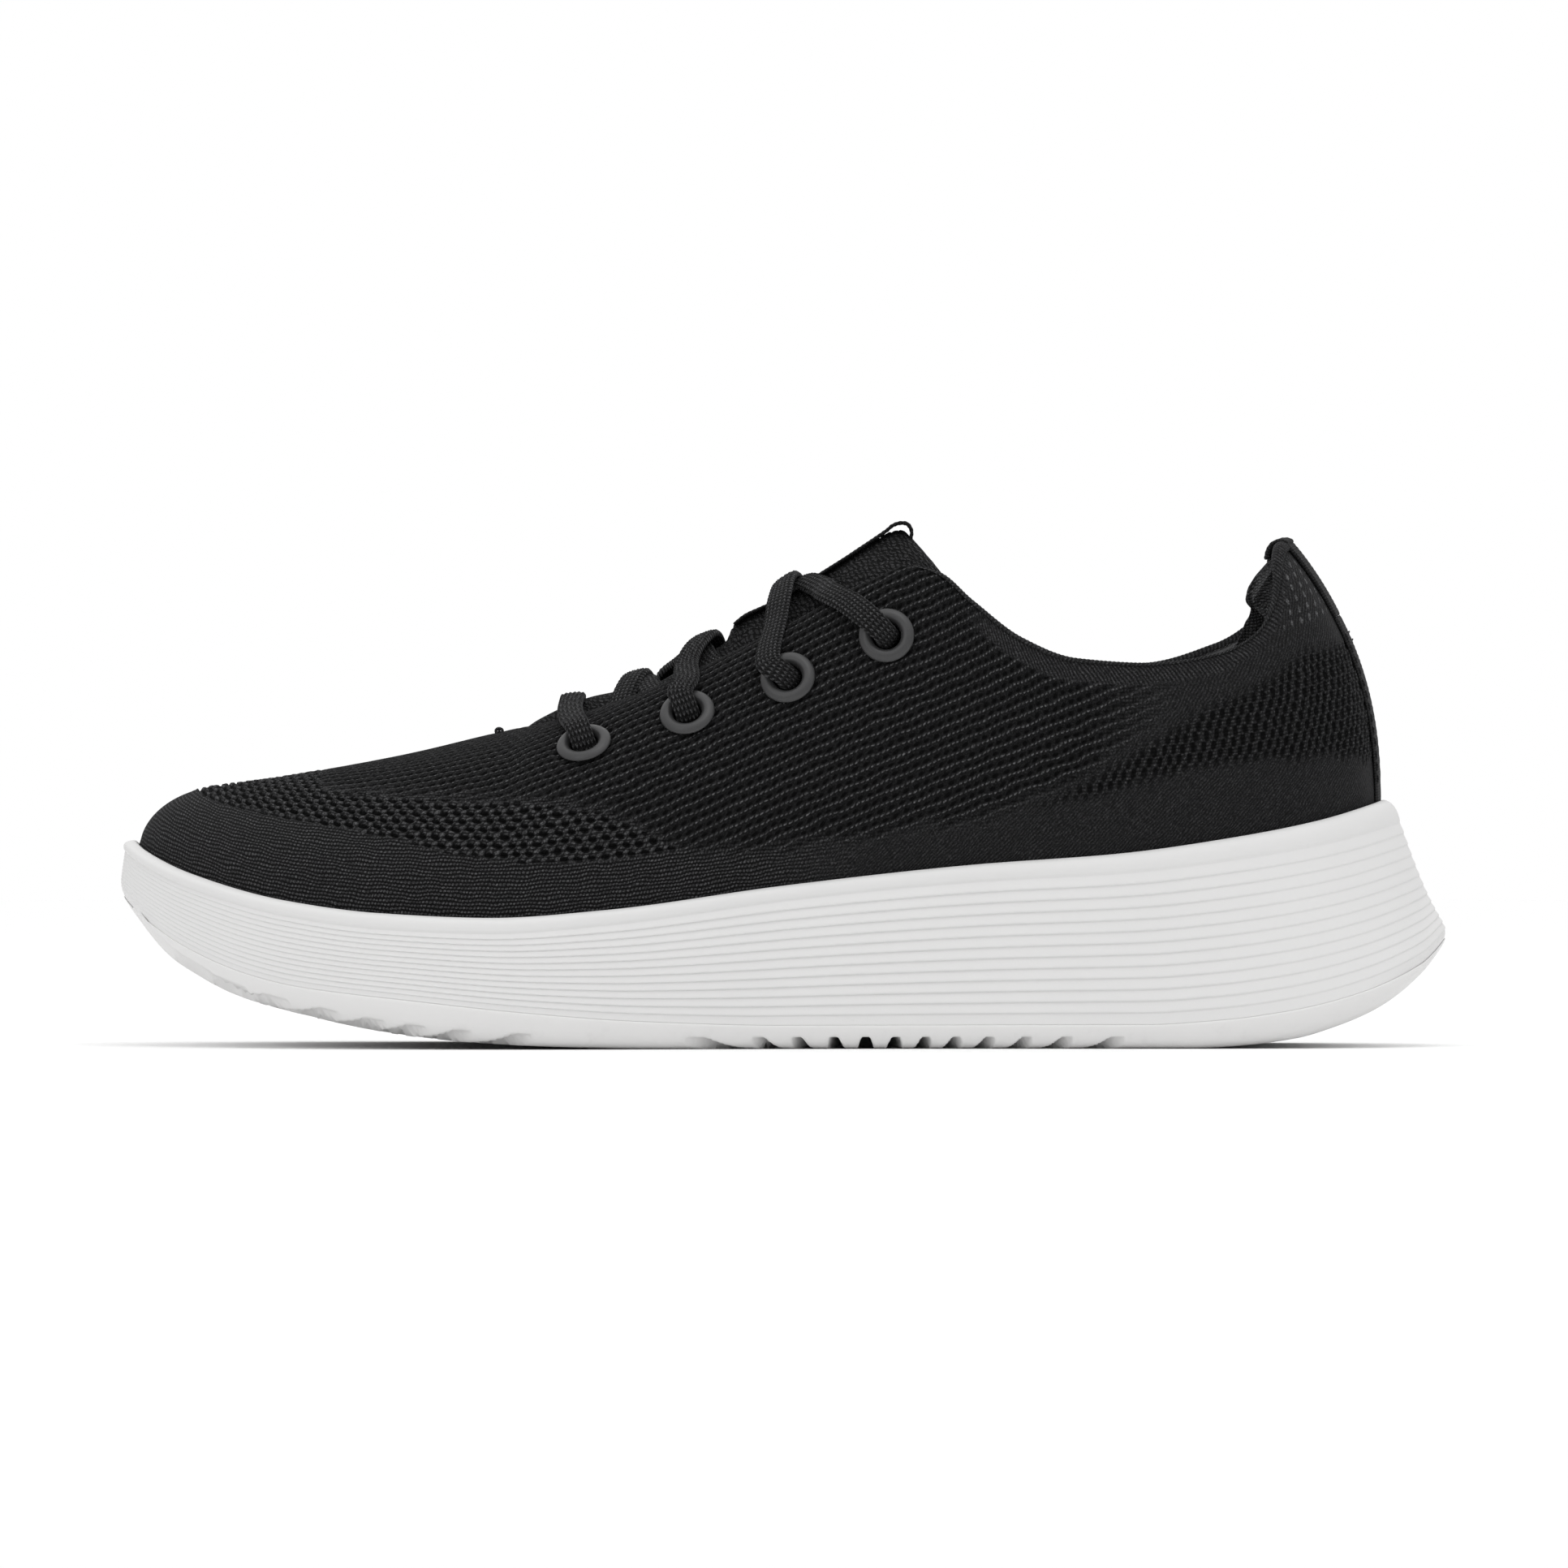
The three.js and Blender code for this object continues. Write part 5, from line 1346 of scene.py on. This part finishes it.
def tongue_point(q, c):
    """Outside of the tongue: q runs across it from -1 (lateral) to 1, and c is the station."""
    q, c = np.broadcast_arrays(np.asarray(q, float), np.asarray(c, float))
    edge = lambda side, v: under_upper(side * c, np.full(c.shape, v), TONGUE_DEPTH)
    middle = np.stack([tongue_x(c), top_centre(c), tongue_z(c)], axis=-1)
    line = [edge(-1, TONGUE_EDGE), edge(-1, 0.9), middle, edge(1, 0.9), edge(1, TONGUE_EDGE)]
    line = [2 * line[0] - line[1]] + line + [2 * line[-1] - line[-2]]
    place = np.clip((q + 1) / 2, 0, 1) * 4
    span = np.clip(place.astype(int), 0, 3)
    table = np.stack(line)
    pick = lambda k: np.take_along_axis(table, (span + k)[None, ..., None], axis=0)[0]
    return catmull(pick(0), pick(1), pick(2), pick(3), (place - span)[..., None])


def tongue_normal(q, c):
    """The tongue's outward direction."""
    return normal_of(tongue_point, q, c)


TONGUE_PAD = 0.522  # station where the tongue's padding starts

# Each strand over the tongue, by the side and row of the eyelet it comes from: x where it passes the
# throat's edge, its points over the tongue, x at the edge on the far side. A point is the share of the
# way across (0 in the middle, 1 at its own side), x, and the height over the tongue.
CROSSINGS = {
    (-1, 0): (-38.0, [(0.3, -36.0, 2.0), (0.0, -32.5, 3.1), (-0.3, -29.5, 1.9)], -27.0),
    (1, 0): (-38.5, [(0.3, -35.5, 1.7), (0.0, -31.5, 1.5), (-0.3, -28.5, 1.9)], -25.5),
    (1, 1): (-25.5, [(0.22, -21.5, 4.6), (0.0, -18.6, 1.7), (-0.3, -15.5, 2.0)], -11.5),
    (-1, 1): (-21.1, [(0.2, -18.2, 5.2), (0.0, -15.8, 3.2), (-0.3, -13.5, 1.8)], -11.0),
    (-1, 2): (-0.8, [(0.22, 1.0, 5.2), (0.0, 2.6, 3.2), (-0.3, 7.2, 1.8)], 12.0),
    (1, 2): (-2.0, [(0.22, 1.6, 3.0), (0.0, 4.4, 1.2), (-0.22, 9.2, 2.2)], 10.8),
}


def tongue_station(q, x):
    """The station on the tongue at a place across it and an x."""
    stations = np.linspace(TONGUE_BASE, TONGUE_TIP, 2000)
    return np.interp(x, tongue_point(q, stations)[:, 0], stations)


def lace_spots():
    """Where the lace presses on the tongue."""
    return [tongue_point(side * q, tongue_station(side * q, x))
            for (side, _), (_, crossing, _) in CROSSINGS.items() for q, x, _ in crossing]


def tongue_sheet(name, outer_depth, inner_depth, coarse, material, nodes, shrink):
    """One layer of the tongue: a cushion with rounded edges between two depths, functions of (q, c)."""
    rows, cols = (230, 130) if coarse else (90, 60)  # only the coarse knit needs a fine mesh
    c = np.linspace(TONGUE_BASE, TONGUE_TIP + shrink * 0.002, rows)[:, None]
    turn = np.linspace(-1, 1, cols)[None]
    q = np.sin(turn * np.pi / 2) * (1 - 0.01 * shrink)
    q = mix(q, turn, 0.6)
    closing = (1 - np.abs(q) ** 10) * ease(0, 1, (TONGUE_BASE + 0.002 - c) / 0.01)
    closing = closing * np.clip((c - TONGUE_TIP) / 0.012, 0, 1) ** 0.5
    closing = np.sqrt(np.clip(closing, 0, 1))
    base, normal = tongue_point(q, c), tongue_normal(q, c)
    low, high = outer_depth(q, c), inner_depth(q, c)
    middle, half = (low + high) / 2, (high - low) / 2
    along, across = run_along(base), run_along(base, axis=1)
    across -= across[:, cols // 2:cols // 2 + 1]
    place = np.stack([across, along], axis=-1)
    a = across + 0.5 * soft_noise(place, 6, 21) + 0.3 * soft_noise(place, 2.6, 22)
    b = along + 0.4 * soft_noise(place, 5, 23) + 0.25 * soft_noise(place, 2.2, 24)
    relief = 0
    if coarse:
        relief = 0.3 * oval(cell(a, b, 1.9, 1.35, 0.7), 0.42, 0.4, 0.8) + 0.14 * soft_noise(place, 3.1, 25)
        relief = relief * ease(TONGUE_PAD + 0.01, TONGUE_PAD - 0.01, c) * closing
    front = base - normal * (middle - half * closing)[..., None]
    if coarse:
        at_lace = np.min([np.linalg.norm(front - spot, axis=-1) for spot in lace_spots()], axis=0)
        free = (at_lace > 4.5) & (np.abs(q) < 0.9) & (c < TONGUE_PAD + 0.02) & (c > TONGUE_TIP + 0.004)
        front = front + puffed(front, ~free, True, PRESSURE, 0.9)
    front = front + normal * np.asarray(relief)[..., None]
    rear = base - normal * (middle + half * closing)[..., None]
    grid = np.concatenate([front, rear[:, -2:0:-1]], axis=1)
    count = grid.shape[1]
    faces = [grid_faces(rows, count, close_cols=True)] + end_caps(rows, count, cols)
    obj = new_object(name, grid.reshape(-1, 3), np.vstack(faces))
    full = lambda values: np.concatenate([values, values[:, -2:0:-1]], axis=1)
    set_cloth(obj, full(a), full(b))
    return finish_piece(obj, material, "tongue", nodes)


def tongue():
    """The tongue: coarse knit in front over a cushion, with a smooth lining behind."""
    padded = lambda q, c: ease(TONGUE_PAD + 0.03, TONGUE_PAD - 0.02, c) * ease(1.1, 0.5, np.abs(q))
    thickness = lambda q, c: mix(1.6, 4.3, padded(q, c))
    zero = lambda q, c: 0 * (q + c)
    tongue_sheet("tongue_cover", zero, thickness, True, TONGUE_CLOTH,
                 ("tongue_knit", "tongue_foam"), 0)
    tongue_sheet("tongue_back", lambda q, c: thickness(q, c) - 0.5, lambda q, c: thickness(q, c) + 0.7,
                 False, LINING, ("tongue_lining",), 1)


def tongue_loop():
    """The tape sewn up the front of the tongue, looped over its tip."""
    low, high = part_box("tongue_loop")
    half = (high.y - low.y) / 2 / MM
    stations = np.linspace(TONGUE_PAD - 0.012, TONGUE_TIP + 0.012, 14)
    slack = 0.3 + 0.6 * ease(0.425, 0.412, stations)
    front = tongue_point(0, stations) + tongue_normal(0, stations) * slack[:, None]
    tip = tongue_point(0, TONGUE_TIP)
    turn = ((-2.6, 0.15), (-0.9, 0.75), (0.75, 0.55), (1.7, -0.9), (1.5, -3.2), (0.7, -6))
    over = [tip + (x, 0, z) for x, z in turn]
    line = spline(np.vstack([front, over]), 10)
    tangent = unit(np.gradient(line, axis=0))
    across = np.array([0.0, -1.0, 0.0])
    out = np.cross(tangent, across)
    grid = line[:, None] + across * (TAPE_ACROSS * half)[None, :, None]
    tape_sheet("tongue_loop", grid, out[:, None], 0.7, "tongue_loop", ("tongue_loop",))


# ---------------------------------------------------------------- lace

# Width and thickness of the lace's section.
LACE_OPEN, LACE_FLAT, LACE_GATHERED, LACE_ROUND = (5.9, 2.2), (5.6, 1.7), (5.2, 3.0), (6.1, 5.2)
LACE_BAR = -47.5  # x of the bar across the lowest eyelets
LACE_RIBS = 6
LACE_STEP = 0.3  # between the rings of its mesh
LACE_STITCH = 1.5


def throat_station(x):
    """The station of the throat's edge at an x."""
    stations = np.linspace(0.7, 0.4, 2000)
    return np.interp(x, top_x(stations), stations)


def lace_bend(side, row, towards, inwards):
    """The lace through an eyelet, inwards or outwards. towards is where the strand comes from."""
    w, v = EYELET_SPOTS[side, row]
    centre, out = upper_point(w, v), upper_normal(w, v)
    along = towards - centre
    along = unit(along - out * along.dot(out))
    turn = [
        (4.4, 2.75, out, LACE_OPEN),
        (1.6, 2.3, out - 0.6 * along, LACE_GATHERED),
        (0.1, 0.2, -along, LACE_GATHERED),
        (-0.1, -2.6, -along, LACE_ROUND),
        (1.6, -4.7, -out - along, LACE_GATHERED),
        (5, -4.9, -out, LACE_FLAT),
    ]
    path = [(centre + along * ahead + out * height, face, size) for ahead, height, face, size in turn]
    return path if inwards else path[::-1]


def lace_rest(side, row, x, along=0.72, up=0.6):
    """Part of the way from an eyelet to the edge of the throat, lying on the knit."""
    start = upper_point(*EYELET_SPOTS[side, row])
    end = upper_point(side * throat_station(x), 1.0)
    w, v = upper_spot(mix(start[0], x, along), mix(start[2], end[2], up), side)
    out = upper_normal(w, v)
    return upper_point(w, v) + out * 1.9, out, LACE_OPEN


def lace_edge(side, x, over):
    """Where a strand passes over or under the edge of the throat."""
    w = side * throat_station(x)
    if over:
        out = upper_normal(w, 0.97)
        return upper_point(w, 1.0) + out * 2.0, out, LACE_OPEN
    return under_upper(w, 0.94, 4.1), upper_normal(w, 0.93), LACE_FLAT


def lace_crossing(side, crossing):
    """A strand over the tongue."""
    path = []
    for q, x, lift in crossing:
        c = tongue_station(side * q, x)
        out = tongue_normal(side * q, c)
        path.append((tongue_point(side * q, c) + out * lift, out, LACE_OPEN))
    return path


def lace_half(start):
    """Half of the lace, from the middle of the bar to the loose end, as (point, direction, section)."""
    up = np.array([0.0, 0.0, 1.0])
    middle = tongue_point(0, tongue_station(0, LACE_BAR)) + up * 1.35
    path = [(middle, up, LACE_OPEN), lace_edge(start, LACE_BAR, True), lace_rest(start, 0, LACE_BAR)]
    path += lace_bend(start, 0, path[-1][0], True)
    side = start
    for row in range(EYELET_ROWS - 1):
        leave, crossing, arrive = CROSSINGS[side, row]
        if row == 1:
            path.append(lace_rest(side, row, leave))
        path.append(lace_edge(side, leave, row > 0))
        path += lace_crossing(side, crossing)
        side = -side
        last = row == EYELET_ROWS - 2
        path.append(lace_edge(side, arrive, last))
        if last:
            path.append(lace_rest(side, row + 1, arrive, 0.62, 0.78))
        path += lace_bend(side, row + 1, path[-1][0], last)
    path.pop()
    w, v = EYELET_SPOTS[side, EYELET_ROWS - 1]
    # the loose end goes down inside the knit
    for dc, dv, depth in ((-0.001, -0.07, 5.2), (-0.004, -0.16, 5), (-0.008, -0.3, 5.2), (-0.012, -0.42, 6)):
        path.append((under_upper(w + side * dc, v + dv, depth), -upper_normal(w, v + dv), LACE_FLAT))
    return path


def smooth_rows(values, reach):
    """A running Gaussian average down the rows, with the ends kept."""
    k = np.arange(-3 * reach, 3 * reach + 1)
    weight = np.exp(-0.5 * (k / reach) ** 2)
    weight = weight / weight.sum()
    before = 2 * values[:1] - values[3 * reach:0:-1]
    after = 2 * values[-1:] - values[-2:-3 * reach - 2:-1]
    padded = np.concatenate([before, values, after])
    return np.stack([np.convolve(column, weight, "valid") for column in padded.T], axis=1)


def lace_facing(tangent, wanted):
    """The direction that the lace's flat face looks in: near the wanted one, without sudden twists."""
    face = wanted[0] - tangent[0] * wanted[0].dot(tangent[0])
    turned = []
    for t, aim in zip(tangent, wanted):
        face = face - t * face.dot(t)
        level = aim - t * aim.dot(t)
        face = unit(face / np.linalg.norm(face) + 0.12 * level * (1 if level.dot(face) > 0 else -1))
        turned.append(face)
    face = smooth_rows(np.array(turned), 6)
    return unit(face - tangent * (face * tangent).sum(axis=1, keepdims=True))


def shoelace():
    """A flat tubular braid that keeps its face up, pulled together where it passes through the eyelets."""
    path = lace_half(-1)[::-1] + lace_half(1)[1:]
    knots = np.array([p for p, _, _ in path])
    per_span = 24
    dense = spline(knots, per_span)
    run = run_along(dense)
    s = np.linspace(0, run[-1], int(run[-1] / LACE_STEP))
    index = np.interp(s, run, np.arange(len(dense)) / per_span)
    line = smooth_rows(columns_at(s, run, dense), 4)
    tangent = unit(np.gradient(line, axis=0))
    faces_at = np.array([unit(np.asarray(f)) for _, f, _ in path])
    for i in range(1, len(faces_at)):
        if faces_at[i].dot(faces_at[i - 1]) < -0.2:
            faces_at[i] = -faces_at[i]
    face = lace_facing(tangent, columns_at(index, np.arange(len(path)), faces_at))
    side = np.cross(tangent, face)
    sizes = np.array([size for _, _, size in path])
    size = smooth_rows(columns_at(index, np.arange(len(path)), sizes), 5)
    angle = np.linspace(0, 2 * np.pi, 60, endpoint=False)
    squareness = 2 / 2.7
    a = np.sign(np.cos(angle)) * np.abs(np.cos(angle)) ** squareness
    b = np.sign(np.sin(angle)) * np.abs(np.sin(angle)) ** squareness
    chain = (a + 1) / 2 * LACE_RIBS
    parity = np.floor(chain) % 2
    groove = 0.5 - 0.5 * np.cos(2 * np.pi * chain)
    flank = np.abs(b) ** 0.5
    stitch = np.cos(2 * np.pi * (s[:, None] / LACE_STITCH + 0.5 * parity + 0.35 * (chain - np.floor(chain))))
    relief = (0.26 * groove - 0.16) * flank + 0.07 * stitch
    grid = (line[:, None] + side[:, None] * (a * size[:, :1] / 2)[..., None]
            + face[:, None] * (b * size[:, 1:] / 2 + np.sign(b) * relief)[..., None])
    rows, cols = grid.shape[:2]
    quads = [grid_faces(rows, cols, close_cols=True)[:, ::-1]] + end_caps(rows, cols, cols // 2, seam=1)
    obj = new_object("shoelace", grid.reshape(-1, 3), np.vstack(quads))
    set_cloth(obj, s[:, None], chain[None])
    return finish_piece(obj, BRAID, "shoe", ("shoelace",))


# ---------------------------------------------------------------- everything together

def dress_frame_nodes():
    """Materials for the frame's own nodes that stay in the scene."""
    finishes = {"strobel_board": BOARD, "toe_puff": STIFFENER, "heel_counter": STIFFENER, "eyestay": BACKING,
                "eyelet_washer": METAL, "aglet": AGLET}
    for name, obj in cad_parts.items():
        for start, material in finishes.items():
            if name.startswith(start):
                obj.data.materials.clear()
                obj.data.materials.append(material)


# Light of the surround at the horizon and overhead. The camera sees it white.
SKY_LOW, SKY_HIGH = 0.45, 1.35
FLOOR_REACH = 4.0  # m, from the middle to an edge
LIGHTS = {  # place, size and power
    "top_light": ((0.2, -0.5, 1.2), 0.5, 1.6),
    "front_light": ((-0.8, -1.2, 0.7), 0.4, 1.4),
    "back_light": ((0.6, 1.1, 0.9), 0.4, 1.0),
}


def floor():
    """A pale floor."""
    reach = FLOOR_REACH / MM
    corners = [(-reach, -reach, 0), (reach, -reach, 0), (reach, reach, 0), (-reach, reach, 0)]
    obj = new_object("floor", corners, [(0, 1, 2, 3)], smooth=False)
    paint = Material("floor_paint")
    paint.set(Base_Color=(0.95, 0.95, 0.95, 1), Roughness=1.0, Specular_IOR_Level=0.0)
    obj.data.materials.append(paint.material)


def surround():
    """A pale sky that lights the shoe from all round, most from overhead."""
    world = bpy.data.worlds.new("studio")
    world.use_nodes = True
    nodes, links = world.node_tree.nodes, world.node_tree.links
    background = nodes["Background"]
    background.inputs["Color"].default_value = (1, 1, 1, 1)
    direction = nodes.new("ShaderNodeTexCoord")
    height = nodes.new("ShaderNodeSeparateXYZ")
    sky = nodes.new("ShaderNodeMapRange")
    for socket, value in (("From Min", 0.0), ("From Max", 1.0), ("To Min", SKY_LOW), ("To Max", SKY_HIGH)):
        sky.inputs[socket].default_value = value
    seen = nodes.new("ShaderNodeLightPath")
    strength = nodes.new("ShaderNodeMix")
    strength.inputs[3].default_value = 1.0
    links.new(direction.outputs["Generated"], height.inputs[0])
    links.new(height.outputs[2], sky.inputs["Value"])
    links.new(sky.outputs["Result"], strength.inputs[2])
    links.new(seen.outputs["Is Camera Ray"], strength.inputs[0])
    links.new(strength.outputs[0], background.inputs["Strength"])
    bpy.context.scene.world = world


def studio_lights():
    """Large soft lights."""
    for name, (place, size, power) in LIGHTS.items():
        data = bpy.data.lights.new(name, "AREA")
        data.size = size
        data.energy = power
        light = bpy.data.objects.new(name, data)
        light.location = place
        light.rotation_euler = (Vector((0, 0, 0.05)) - light.location).to_track_quat("-Z", "Y").to_euler()
        bpy.context.scene.collection.objects.link(light)


CAMERA_DISTANCE = 3.2
SENSOR = 36
FRAME_WIDTH = 0.3532  # width of the view at the shoe
VIEW_CENTRE = Vector((0.0, 0.0, 0.0589))


def camera():
    """A long lens, level with the shoe, square to its lateral side."""
    data = bpy.data.cameras.new("camera")
    data.sensor_width = SENSOR
    data.lens = SENSOR * CAMERA_DISTANCE / FRAME_WIDTH
    data.clip_end = 50
    obj = bpy.data.objects.new("camera", data)
    obj.location = VIEW_CENTRE - Vector((0, CAMERA_DISTANCE, 0))
    obj.rotation_euler = (VIEW_CENTRE - obj.location).to_track_quat("-Z", "Y").to_euler()
    bpy.context.scene.collection.objects.link(obj)
    bpy.context.scene.camera = obj
    bpy.context.scene.view_settings.view_transform = "Standard"


midsole()
outsole()
insole()
knit_upper()
collar_lining()
collar_binding()
heel_tapes()
bar_tack()
for eyelet_place in EYELET_SPOTS:
    eyelet(*eyelet_place)
tongue()
tongue_loop()
shoelace()
dress_frame_nodes()
floor()
surround()
studio_lights()
camera()
